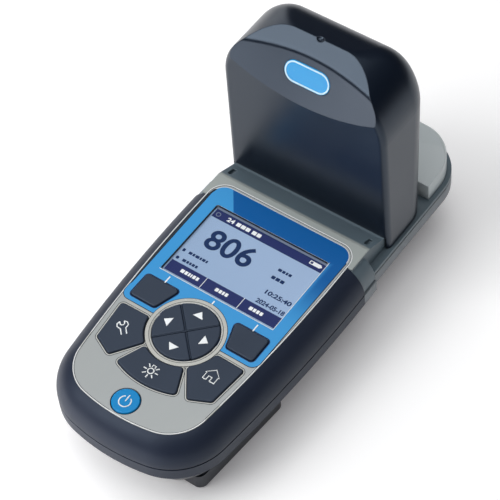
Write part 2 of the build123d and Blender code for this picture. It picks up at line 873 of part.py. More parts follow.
def make_battery_door():
    """Flat door with two tabs in front, two screw seats behind and recesses for the front feet."""
    door = slab(door_outline(), foot_height, foot_height + door_thickness)
    door = chamfer(door.edges().group_by(Axis.Z)[0], door_edge_chamfer) + door_tabs()
    for x, y in front_foot_spots():
        door = door - Pos(x, y) * slab(Circle(foot_radius + seat_gap), 0, foot_height + foot_recess)
    for x, y in door_screw_spots():
        door = door - Pos(x, y) * slab(Circle(screw_head_radius + seat_gap), 0, foot_height + screw_head_height)
        door = door - Pos(x, y) * slab(Circle(screw_shank_radius + seat_gap), 0, far)
    return door


def make_door_seal():
    """Seal ring pressed between the door and its seat."""
    plan = door_outline(seal_edge + 0.05) - door_outline(seal_edge + seal_width - 0.05)
    low = foot_height + door_thickness
    return slab(plan, low, low + seal_height)


def make_screw(seat_z, length):
    """Pan-head screw from below, its head under the seat, with a hexagonal recess."""
    low = seat_z - screw_head_height
    head = slab(Circle(screw_head_radius), low, seat_z)
    head = chamfer(head.edges().group_by(Axis.Z)[0], screw_head_chamfer)
    shank = slab(Circle(screw_shank_radius), seat_z, seat_z + length)
    recess = slab(RegularPolygon(screw_recess_radius, 6), low, low + screw_recess_depth)
    return head + shank - recess


def screw_group(spots, seat_z, length):
    """Equal screws at the given spots."""
    screw = make_screw(seat_z, length)
    return Compound([Pos(x, y) * screw.solids()[0] for x, y in spots])


def make_feet():
    """Four round rubber feet, two on the battery door and two on the rear skid."""
    foot = slab(Circle(foot_radius), 0, foot_height + foot_recess)
    foot = chamfer(foot.edges().group_by(Axis.Z)[0], foot_chamfer)
    spots = front_foot_spots() + rear_foot_spots()
    return Compound([Pos(x, y) * foot.solids()[0] for x, y in spots])


# Tail
def make_module_cover():
    """Cover over the module bay: the whole raised tail, hollow below, its front sloped by facets."""
    room = tail_form(cover_wall, body_height - cover_wall) - Pos(0, 0, -cover_wall) * ramp_cuts()
    return tail_form(0.0, body_height) - ramp_cuts() - room - usb_opening()


def make_module_board():
    """Small radio module board under the cover, with its shielding can."""
    low = flange_top
    top = low + module_board_thickness
    board = slab(Pos(0, module_y) * RectangleRounded(module_width, module_depth, 1.0), low, top)
    can = Pos(0, module_y) * slab(RectangleRounded(shield_width, shield_depth, 0.8), top, top + shield_height)
    return board + can


def usb_opening():
    """Opening through the tail wall for the socket, down to the flange that the socket stands on."""
    half = usb_width / 2 + usb_wall + seat_gap
    wall_y = tail_y - tail_inset
    top = usb_z + usb_height / 2 + usb_wall + seat_gap
    reach = port_opening_depth / 2
    return box_between((-half, wall_y - reach, 0), (half, wall_y + reach, top))


def make_usb_socket():
    """Pressed-metal socket shell with its tongue, standing on the flange."""
    middle_y = tail_y - tail_inset - running_gap - usb_depth / 2
    outer = Box(usb_width + 2 * usb_wall, usb_depth, usb_height + 2 * usb_wall)
    inner = Pos(0, usb_wall, 0) * Box(usb_width, usb_depth, usb_height)
    tongue = Pos(0, -tongue_setback / 2, 0) * Box(usb_width - 2.0, usb_depth - tongue_setback, tongue_thickness)
    foot_low = flange_top - usb_z
    foot = box_between((-usb_width / 2, -usb_depth / 2, foot_low), (usb_width / 2, usb_depth / 2, -usb_height / 2))
    return Pos(0, middle_y, usb_z) * (outer + foot - inner + tongue)


def make_usb_cap():
    """Rubber plug that closes the socket."""
    wall_y = tail_y - tail_inset
    face_z = flange_top + running_gap + cap_height / 2
    face = Pos(0, wall_y + seat_gap + cap_thickness / 2, face_z) * Box(cap_width, cap_thickness, cap_height)
    face = fillet(face.edges().filter_by(Axis.Y), cap_corner_radius)
    plug_low = usb_z + tongue_thickness / 2 + cap_gap
    plug = box_between((-usb_width / 2 + cap_gap, wall_y - running_gap - cap_plug_depth, plug_low),
                       (usb_width / 2 - cap_gap, wall_y + seat_gap, usb_z + usb_height / 2 - cap_gap))
    return face + plug


# Hood
def hood_form(inset, foot_z):
    """Hood as a solid: arched front view, crowned top, leaning back and a dished crescent in front."""
    draft = tan(radians(hood_draft))
    low_half = hood_half_width - inset
    top = hood_top - inset
    high_half = low_half - draft * (top - foot_z)
    front_view = make_face(Polyline((-low_half, foot_z), (low_half, foot_z), (high_half, top),
                                    (-high_half, top), close=True))
    shoulders = front_view.vertices().sort_by(Axis.Y)[-2:]
    front_view = fillet(shoulders, hood_shoulder_radius - inset)
    crown_y = hood_y + crown_from_front
    lean = tan(radians(hood_back_slope))
    fall = tan(radians(crown_back_slope))
    low_back = hood_back_y - inset
    back_height = (top - foot_z - fall * (low_back - crown_y)) / (1 + fall * lean)
    side_view = make_face(Polyline((hood_y + inset, foot_z), (low_back, foot_z),
                                   (low_back + lean * back_height, foot_z + back_height),
                                   (crown_y, top), (hood_y + inset, top), close=True))
    side_view = fillet([side_view.vertices().sort_by(Axis.X)[-1]], hood_crown_round - inset)
    block = extrude(Plane.XZ * front_view, -far)
    solid = block & extrude(Plane.YZ * side_view, far / 2, both=True)
    back_face = solid.faces().filter_by(GeomType.PLANE).sort_by(Axis.Y)[-1]
    side_edges = [e for e in back_face.edges() if e.center().Z > foot_z + 0.5 and abs(e.center().X) > 1.0]
    return fillet(side_edges, hood_back_round - inset)


def crescent_cut(inset):
    """Cone that dishes the upper front face, so that its lower edge is an arc."""
    shrink = crescent_depth / tan(radians(crescent_slope))
    cone = Cone(crescent_radius, crescent_radius - shrink, crescent_depth)
    center_z = crescent_low_height + crescent_radius
    return Pos(0, hood_y + inset + crescent_depth / 2 - 0.001, center_z) * Rot(-90, 0, 0) * cone


def bevel_cut(inset):
    """Block that bevels the edge between the crescent and the crown."""
    block = Pos(0, 0, far / 2) * Box(far, far, far)
    lift = inset / cos(radians(bevel_angle))
    return Pos(0, hood_y + crown_from_front, hood_top - lift) * Rot(bevel_angle, 0, 0) * block


def front_cuts(inset):
    """What the crescent and the bevel take from the hood's front."""
    front_half = box_between((-far, -far, 0), (far, hood_y + crown_from_front + inset, far))
    return crescent_cut(inset) + (bevel_cut(inset) & front_half)


def thumb_notch():
    """Small dimple in the front of the crown line."""
    out = thumb_notch_radius * 0.5
    tilt = radians(bevel_angle / 2)
    crown_y = hood_y + crown_from_front
    return Pos(0, crown_y - out * sin(tilt), hood_top + out * cos(tilt)) * Sphere(thumb_notch_radius)


def is_crescent_edge(edge):
    """Whether this is the edge where the crescent meets the bevel, in the middle of the hood."""
    middle = edge @ 0.5
    on_bevel = hood_top - (hood_y + crown_from_front - middle.Y) * tan(radians(bevel_angle))
    behind_front = hood_y + 1.0 < middle.Y < hood_y + crown_from_front - 1.0
    return behind_front and abs(middle.X) < 1.0 and abs(middle.Z - on_bevel) < 0.01


def make_hood():
    """Light shield: one thin moulding, open below, whose sides reach down over the deck."""
    outer = hood_form(0.0, hood_foot_z)
    front_face = outer.faces().sort_by(Axis.Y)[0]
    front_edges = [e for e in front_face.edges() if e.center().Z > hood_foot_z + 0.5]
    outer = fillet(front_edges, hood_front_round) - front_cuts(0.0)
    crescent_edge = [e for e in outer.edges() if is_crescent_edge(e)]
    outer = fillet(crescent_edge, crescent_edge_round)
    shell = outer - (hood_form(hood_wall, hood_foot_z - 0.001) - front_cuts(hood_wall))
    gate_half = hood_half_width - hood_wall
    gate = box_between((-gate_half, hood_y - cut_room, 0),
                       (gate_half, hood_y + hood_wall + 2 * cut_room, hood_front_foot_z))
    return shell - gate - thumb_notch() - badge_form(badge_gap)


def badge_form(grow):
    """The badge's flat oblong plate on the crescent, or its seat when grown."""
    outline = SlotOverall(badge_width + 2 * grow, badge_height + 2 * grow)
    depth = (badge_center_height - crescent_low_height) * tan(radians(crescent_slope))
    seat = Pos(0, hood_y + depth + badge_sink, badge_center_height) * Rot(-crescent_slope, 0, 0)
    return seat * extrude(Plane.XZ * outline, badge_thickness)


def make_badge():
    """Plain rounded plate let into the crescent, with nothing on it."""
    badge = badge_form(0.0)
    return fillet(badge.edges().filter_by(GeomType.CIRCLE).group_by(Axis.Y)[0], badge_edge_round)


def build_all():
    """Make and write every piece."""
    keys = key_plans()
    save("lower_housing", make_lower_housing())
    save("upper_housing", make_upper_housing(keys))
    save("housing_gasket", make_gasket())
    save("grip_overmould", make_grip())
    save("lower_grip", make_lower_grip())
    save("face_plate", make_face_plate(keys))
    save("display_window", make_window())
    save("display_module", make_display_module())
    save("keypad_mat", make_keypad_mat(keys))
    save("key_domes", make_domes(keys))
    save("main_board", make_main_board())
    for name, (plan, rise, spot) in keys.items():
        save(name, make_key(plan, rise, spot))
    save("cell_holder", make_cell_holder())
    save("light_source", make_light_source())
    save("light_detector", make_detector())
    save("source_board", make_optics_board(-1))
    save("detector_board", make_optics_board(1))
    save("battery_cells", make_battery_cells())
    save("contact_plates", make_contact_plates())
    save("contact_springs", make_contact_springs())
    save("battery_door", make_battery_door())
    save("battery_door_seal", make_door_seal())
    door_screws = screw_group(door_screw_spots(), foot_height + screw_head_height,
                              door_screw_length - screw_head_height)
    save("battery_door_screws", door_screws)
    save("housing_screws", screw_group(housing_screw_spots(), screw_well_top, housing_screw_length))
    save("feet", make_feet())
    save("module_cover", make_module_cover())
    save("module_board", make_module_board())
    save("usb_socket", make_usb_socket())
    save("usb_cap", make_usb_cap())
    save("hood_shell", make_hood())
    save("hood_badge", make_badge())


build_all()
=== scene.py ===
"""Looks of the portable colorimeter: its finishes, printed panel, display, key marks and studio."""

import logging
import math
from collections.abc import Callable, Iterable
from dataclasses import dataclass, field
from enum import Enum
from functools import partial

import bmesh
import bpy
from mathutils import Matrix, Vector


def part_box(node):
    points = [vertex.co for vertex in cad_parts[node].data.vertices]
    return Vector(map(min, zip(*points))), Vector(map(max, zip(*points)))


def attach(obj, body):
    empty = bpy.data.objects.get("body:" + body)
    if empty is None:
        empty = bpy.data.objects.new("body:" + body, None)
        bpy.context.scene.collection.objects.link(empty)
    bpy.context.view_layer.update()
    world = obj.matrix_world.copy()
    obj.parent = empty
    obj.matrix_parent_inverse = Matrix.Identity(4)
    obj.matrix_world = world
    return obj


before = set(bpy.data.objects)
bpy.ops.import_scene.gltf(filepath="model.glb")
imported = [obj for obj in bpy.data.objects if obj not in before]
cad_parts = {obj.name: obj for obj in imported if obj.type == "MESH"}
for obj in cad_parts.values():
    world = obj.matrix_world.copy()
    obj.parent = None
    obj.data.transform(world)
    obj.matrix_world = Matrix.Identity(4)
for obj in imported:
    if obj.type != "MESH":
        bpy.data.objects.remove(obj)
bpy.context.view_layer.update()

MM = 0.001
SAME_PLACE = 1e-6
ROUND_STEPS = 96
CASE = "instrument"
HOOD = "hood"
SIDES = ("up", "left", "down", "right")
SOFT_KEYS = ("soft_key_left", "soft_key_right")
BLUE_KEYS = (*SOFT_KEYS, "power_key")
GREY_KEYS = ("home_key", "settings_key", "backlight_key")
Colour = tuple[float, float, float]
Shade = tuple[int, int, int]
Point = tuple[float, float]
Sides = tuple[float, float, float, float]
Row = tuple[float, float, float, tuple[float, ...]]
Text = tuple[str, float, float, float, float, float]
Form = bmesh.types.BMesh
Face = bmesh.types.BMFace
Socket = bpy.types.NodeSocket
log = logging.getLogger("colorimeter")


class Ink(Enum):
    """Colours of the panel, the display and the keys, from 0 to 255: print, and the two line colours also
    painted highlights and painted shade along edges.
    """

    PANEL_LIGHT = (60, 147, 207)
    PANEL_DEEP = (0, 85, 152)
    WHITE = (240, 244, 246)
    LINE_LIGHT = (226, 228, 228)
    LINE_DARK = (32, 41, 52)
    SCREEN_GROUND = (156, 180, 212)
    SCREEN_NAVY = (34, 44, 96)
    SCREEN_DIGIT = (16, 42, 86)


class Slot(Enum):
    """Names of the record's material slots."""

    PLATE = "plate_grey"
    GLASS = "display_glass"
    KEY = "key_plastic"
    POWER = "power_blue"
    BADGE = "badge_blue"


class Combine(Enum):
    """How one form works on another."""

    CUT = "DIFFERENCE"
    COMMON = "INTERSECT"
    JOIN = "UNION"


def linear(shade: Shade) -> Colour:
    """A colour as the renderer wants it, from the 0 to 255 values of a screen."""
    shares = [value / 255 for value in shade]
    return tuple(s / 12.92 if s <= 0.04045 else ((s + 0.055) / 1.055) ** 2.4 for s in shares)


class Surface:
    """One node tree, with short calls to add nodes, to feed their sockets and to place patterns."""

    def __init__(self, tree: bpy.types.NodeTree) -> None:
        """Work on this tree."""
        self.tree = tree

    def add(self, kind: str, **settings: object) -> bpy.types.Node:
        """Add a node.

        Args:
            kind: the node's type name.
            settings: properties set on the node.

        Returns:
            The new node.
        """
        node = self.tree.nodes.new(kind)
        for name, value in settings.items():
            setattr(node, name, value)
        return node

    def feed(self, node: bpy.types.Node, values: dict[str | int, object]) -> bpy.types.Node:
        """Join sockets to a node's inputs, or set the inputs' own plain values.

        Args:
            node: the node.
            values: a socket, a number or a colour for each input's name or number.

        Returns:
            The same node.
        """
        for key, source in values.items():
            target = node.inputs[key]
            if isinstance(source, Socket):
                self.tree.links.new(source, target)
            elif isinstance(source, tuple) and target.type == "RGBA":
                target.default_value = (*source, 1.0)
            else:
                target.default_value = source
        return node

    def math(self, operation: str, first: object, second: object = 0.0) -> Socket:
        """The result of one operation of the Math node on two values or sockets."""
        return self.feed(self.add("ShaderNodeMath", operation=operation), {0: first, 1: second}).outputs[0]

    def spread(self, value: object, low: float, high: float, start: float = 0.0, end: float = 1.0,
               soft: bool = False) -> Socket:
        """Turn a value between low and high into one between start and end.

        Args:
            value: the value or socket read.
            low: where the result starts.
            high: where it ends.
            start: the result at low.
            end: the result at high.
            soft: ease in and out.

        Returns:
            The result's socket.
        """
        kind = "SMOOTHSTEP" if soft else "LINEAR"
        node = self.add("ShaderNodeMapRange", interpolation_type=kind, clamp=True)
        return self.feed(node, dict(enumerate((value, low, high, start, end)))).outputs[0]

    def step(self, value: Socket, line: float, blur: float) -> Socket:
        """A mask that rises from 0 to 1 over a line, with the line and half its width in millimetres."""
        return self.spread(value, (line - blur) * MM, (line + blur) * MM)

    def blend(self, share: object, first: object, second: object) -> Socket:
        """Two colours mixed, with a share from 0 to 1 of the second."""
        node = self.add("ShaderNodeMix", data_type="RGBA")
        return self.feed(node, {0: share, 6: first, 7: second}).outputs[2]

    def place(self) -> Socket:
        """The point on the object, in metres."""
        return self.add("ShaderNodeTexCoord").outputs["Object"]

    def axes(self) -> tuple[Socket, ...]:
        """The point's X, Y and Z, in metres."""
        return tuple(self.feed(self.add("ShaderNodeSeparateXYZ"), {0: self.place()}).outputs)

    def noise(self, scale: object, detail: float, where: Socket) -> Socket:
        """Cloudy noise between 0 and 1, of so many features per metre and so many finer layers."""
        node = self.add("ShaderNodeTexNoise")
        return self.feed(node, {"Vector": where, "Scale": scale, "Detail": detail}).outputs[0]

    def effect(self, name: str, **values: object) -> bpy.types.Node:
        """Place one of the shared effects, with values or sockets for its inputs."""
        return self.feed(self.add("ShaderNodeGroup", node_tree=bpy.data.node_groups[name]), values)


def new_material(name: str) -> tuple[bpy.types.Material, Surface, bpy.types.Node]:
    """Start a material.

    Args:
        name: its name.

    Returns:
        The material, its surface and its shader node.
    """
    made = bpy.data.materials.new(name)
    made.use_nodes = True
    return made, Surface(made.node_tree), made.node_tree.nodes["Principled BSDF"]


class SharedEffects:
    """The effects that several finishes use, each built once as a node group."""

    SOFT_EDGES = "soft_edges"
    MOULD_GRAIN = "mould_grain"
    HANDLING = "handling_marks"

    def build(self) -> None:
        """Build the three groups."""
        self.soft_edges()
        self.mould_grain()
        self.handling_marks()

    @staticmethod
    def start(name: str, inputs: dict[str, float],
              outputs: dict[str, str]) -> tuple[Surface, dict[str, Socket], bpy.types.Node]:
        """Begin a group.

        Args:
            name: the group's name.
            inputs: each input's name and usual value.
            outputs: each output's name and socket type.

        Returns:
            The group's surface, its given sockets by name and its output node.
        """
        tree = bpy.data.node_groups.new(name, "ShaderNodeTree")
        for key, value in inputs.items():
            socket = tree.interface.new_socket(key, in_out="INPUT", socket_type="NodeSocketFloat")
            socket.default_value = value
        for key, kind in outputs.items():
            tree.interface.new_socket(key, in_out="OUTPUT", socket_type=kind)
        surface = Surface(tree)
        given = surface.add("NodeGroupInput").outputs
        return surface, {key: given[key] for key in inputs}, surface.add("NodeGroupOutput")

    def soft_edges(self) -> None:
        """Rounded-looking edges, and a mask that is bright where they turn away from the flat."""
        flat, turned = 1.0, 0.8
        surface, given, wanted = self.start(self.SOFT_EDGES, {"Radius": 0.0003},
                                            {"Normal": "NodeSocketVector", "Edge": "NodeSocketFloat"})
        rounded = surface.feed(surface.add("ShaderNodeBevel", samples=6), given).outputs[0]
        facing = surface.add("ShaderNodeVectorMath", operation="DOT_PRODUCT")
        surface.feed(facing, {0: rounded, 1: surface.add("ShaderNodeNewGeometry").outputs["Normal"]})
        surface.feed(wanted, {"Normal": rounded,
                              "Edge": surface.spread(facing.outputs["Value"], flat, turned)})

    def mould_grain(self) -> None:
        """Fine pebbled grain of a moulded skin, as a height: pebbles, finer noise and wide patches."""
        finer, patches = 1.7, 90.0
        surface, given, wanted = self.start(self.MOULD_GRAIN, {"Scale": 2200.0, "Patchiness": 0.3},
                                            {"Height": "NodeSocketFloat"})
        where = surface.place()
        pebbles = surface.add("ShaderNodeTexVoronoi", feature="SMOOTH_F1")
        surface.feed(pebbles, {"Vector": where, "Scale": given["Scale"]})
        fine = surface.noise(surface.math("MULTIPLY", given["Scale"], finer), 3.0, where)
        uneven = surface.math("MULTIPLY", surface.noise(patches, 2.0, where), given["Patchiness"])
        height = surface.math("MULTIPLY", surface.math("ADD", pebbles.outputs["Distance"], fine), 0.5)
        surface.feed(wanted, {"Height": surface.math("ADD", height, uneven)})

    def handling_marks(self) -> None:
        """Faint smudges and specks that handling leaves, as a mask."""
        speck_scale, speck_low, speck_high = 900.0, 0.68, 0.78
        smudge_low, smudge_high = 0.35, 0.7
        surface, given, wanted = self.start(self.HANDLING, {"Scale": 38.0, "Specks": 0.35},
                                            {"Mask": "NodeSocketFloat"})
        where = surface.place()
        stretched = surface.feed(surface.add("ShaderNodeMapping"), {
            "Vector": where, "Rotation": (0.3, 0.5, 0.9), "Scale": (1.0, 0.45, 0.8)}).outputs[0]
        smudge = surface.spread(surface.noise(given["Scale"], 4.0, stretched), smudge_low, smudge_high)
        specks = surface.spread(surface.noise(speck_scale, 1.0, where), speck_low, speck_high)
        dust = surface.math("MULTIPLY", specks, given["Specks"])
        surface.feed(wanted, {"Mask": surface.math("ADD", smudge, dust)})


@dataclass(frozen=True)
class Finish:
    """A moulded, painted or metal surface: its colours, gloss, grain and edges."""

    name: str
    colour: Shade
    tint: Shade
    roughness: float
    metallic: float = 0.0
    coat: float = 0.0
    coat_roughness: float = 0.25
    specular: float = 0.5
    sheen_tint: Colour = (1.0, 1.0, 1.0)
    grain: float = 2200.0
    grain_depth: float = 0.06
    grain_height: float = 0.2
    edge_radius: float = 0.35
    edge_light: float = 0.25
    edge_gain: float = 1.6
    edge_lift: float = 0.05
    smudge: float = 0.06
    mark_share: float = 0.5
    mark_full: float = 1.2

    def base_colour(self, surface: Surface, marks: Socket) -> Socket:
        """The colour before the edges are lightened.

        Args:
            surface: the material's surface.
            marks: the mask of the handling marks.

        Returns:
            The colour's socket.
        """
        share = surface.math("MULTIPLY", marks, self.mark_share)
        return surface.blend(share, linear(self.colour), linear(self.tint))

    def material(self) -> bpy.types.Material:
        """Build the material.

        Returns:
            The finished material.
        """
        made, surface, shader = new_material(self.name)
        colour = linear(self.colour)
        made.diffuse_color = (*colour, 1.0)
        edges = surface.effect(SharedEffects.SOFT_EDGES, Radius=self.edge_radius * MM).outputs
        marks = surface.effect(SharedEffects.HANDLING).outputs["Mask"]
        grain = surface.effect(SharedEffects.MOULD_GRAIN, Scale=self.grain)
        bump = surface.feed(surface.add("ShaderNodeBump"), {
            "Strength": self.grain_depth, "Distance": self.grain_height * MM,
            "Height": grain.outputs["Height"], "Normal": edges["Normal"]})
        # Rounded edges are painted paler: edge wear, and a painted highlight along them.
        edge_wear_and_highlight = surface.math("MULTIPLY", edges["Edge"], self.edge_light)
        paler = tuple(min(1.0, channel * self.edge_gain + self.edge_lift) for channel in colour)
        smooth, rough = self.roughness - self.smudge, self.roughness + self.smudge
        surface.feed(shader, {
            "Base Color": surface.blend(edge_wear_and_highlight, self.base_colour(surface, marks), paler),
            "Roughness": surface.spread(marks, 0.0, self.mark_full, smooth, rough),
            "Normal": bump.outputs[0],
            "Metallic": self.metallic, "Coat Weight": self.coat, "Coat Roughness": self.coat_roughness,
            "Specular IOR Level": self.specular, "Specular Tint": self.sheen_tint})
        return made


@dataclass(frozen=True)
class HullPlastic(Finish):
    """Lower shell: one colour on its rim, and a darker one below."""

    below: Shade = (26, 29, 42)
    below_marks: float = 0.3
    rim_z: float = 26.8
    blur: float = 0.15

    def base_colour(self, surface: Surface, marks: Socket) -> Socket:
        """The rim's colour above the line and the dark one under it.

        Args:
            surface: the material's surface.
            marks: the mask of the handling marks.

        Returns:
            The colour's socket.
        """
        rim = surface.step(surface.axes()[2], self.rim_z, self.blur)
        share = surface.math("MULTIPLY", marks, self.below_marks)
        dark = surface.blend(share, linear(self.below), linear(self.tint))
        return surface.blend(rim, dark, super().base_colour(surface, marks))


@dataclass(frozen=True)
class CasePlastic(Finish):
    """Upper shell: moulded grey, with its flat top painted paler, near the face plate's grey: painted light
    for the top that catches more light than the slopes.
    """

    lit_top_colour: Shade = (154, 160, 158)
    top_z: float = 47.4
    blur: float = 0.25

    def base_colour(self, surface: Surface, marks: Socket) -> Socket:
        """The moulded grey up to the line and the paler painted light above it."""
        # Painted light: the flat top is painted paler than the moulded grey.
        painted = surface.step(surface.axes()[2], self.top_z, self.blur)
        return surface.blend(painted, super().base_colour(surface, marks), linear(self.lit_top_colour))


@dataclass(frozen=True)
class PlatePaint(Finish):
    """Satin paint of the face plate, paler round the keys."""

    pale: Shade = (180, 181, 176)
    middle_y: float = -44.0
    pale_start: float = 30.5
    pale_end: float = 35.5

    def base_colour(self, surface: Surface, marks: Socket) -> Socket:
        """The paint, blended to the paler one within the keys' reach of the pad's middle.

        Args:
            surface: the material's surface.
            marks: the mask of the handling marks.

        Returns:
            The colour's socket.
        """
        x, y, _ = surface.axes()
        down = surface.math("SUBTRACT", y, self.middle_y * MM)
        away = surface.math("SQRT", surface.math("ADD", surface.math("MULTIPLY", x, x),
                                                 surface.math("MULTIPLY", down, down)))
        near = surface.spread(away, self.pale_start * MM, self.pale_end * MM, 1.0, 0.0, True)
        return surface.blend(near, super().base_colour(surface, marks), linear(self.pale))


@dataclass(frozen=True)
class PanelFilm(Finish):
    """Printed film round the display: a light blue field that deepens past a slanting edge."""

    edge_x: float = -26.0
    edge_y: float = 20.0
    edge_slope: float = 0.744
    blur: float = 0.3
    deep_above: Point = (11.5, 15.5)
    deep_right: Point = (30.0, 34.0)
    fade_up: Point = (-26.0, 8.0)
    mark_share: float = 0.12

    def base_colour(self, surface: Surface, marks: Socket) -> Socket:
        """Light blue to the left and below, deep blue above and to the right.

        Args:
            surface: the material's surface.
            marks: the mask of the handling marks.

        Returns:
            The colour's socket.
        """
        def rise(value: Socket, ends: Point) -> Socket:
            """A soft mask along one axis, between two places in millimetres."""
            return surface.spread(value, ends[0] * MM, ends[1] * MM, soft=True)

        x, y, _ = surface.axes()
        along = surface.math("SUBTRACT", x, self.edge_x * MM)
        across = surface.math("SUBTRACT", y, self.edge_y * MM)
        past = surface.math("ADD", along, surface.math("MULTIPLY", across, self.edge_slope))
        corner = surface.math("MULTIPLY", surface.step(past, 0.0, self.blur), rise(y, self.deep_above))
        side = surface.math("MULTIPLY", rise(x, self.deep_right), rise(y, self.fade_up))
        deep = surface.math("MAXIMUM", corner, side)
        return surface.blend(deep, super().base_colour(surface, marks), linear(Ink.PANEL_DEEP.value))


@dataclass(frozen=True)
class ScreenGround(Finish):
    """Liquid-crystal ground: a fine pixel grid over a blue-grey ground that is lighter towards the upper
    right.
    """

    pitch: float = 0.27
    line_start: float = 0.86
    line_strength: float = 0.10
    gradient_ends: Point = (-45.0, 30.0)

    def base_colour(self, surface: Surface, marks: Socket) -> Socket:
        """The blue-grey ground, lighter towards the upper right, darkened a little along the grid's lines.

        Args:
            surface: the material's surface.
            marks: the mask of the handling marks.

        Returns:
            The colour's socket.
        """
        x, y, _ = surface.axes()
        cells = [surface.math("FRACT", surface.math("DIVIDE", axis, self.pitch * MM)) for axis in (x, y)]
        on_lines = [surface.math("GREATER_THAN", cell, self.line_start) for cell in cells]
        start, end = self.gradient_ends
        # The ground is lighter towards the upper right.
        glow = surface.spread(surface.math("ADD", x, y), start * MM, end * MM, soft=True)
        lit = surface.blend(glow, linear(self.tint), linear(self.colour))
        grid = surface.math("MULTIPLY", surface.math("MAXIMUM", *on_lines), self.line_strength)
        return surface.blend(grid, lit, linear(Ink.SCREEN_NAVY.value))


@dataclass(frozen=True)
class CircuitBoard(Finish):
    """Green solder mask with copper tracks showing through in steps."""

    track_scale: float = 120.0
    track_width: float = 0.06

    def base_colour(self, surface: Surface, marks: Socket) -> Socket:
        """Solder mask, lighter where the tracks run."""
        tracks = surface.feed(surface.add("ShaderNodeTexBrick"), {
            "Vector": surface.place(), "Scale": self.track_scale, "Mortar Size": self.track_width})
        return surface.blend(tracks.outputs["Fac"], linear(self.colour), linear(self.tint))


@dataclass(frozen=True)
class CellJacket(Finish):
    """Battery jacket: a dark sleeve with a bright band at one end."""

    band_y: float = -50.0

    def base_colour(self, surface: Surface, marks: Socket) -> Socket:
        """Dark sleeve, brass-coloured past the band's line."""
        band = surface.math("GREATER_THAN", surface.axes()[1], self.band_y * MM)
        return surface.blend(band, linear(self.colour), linear(self.tint))


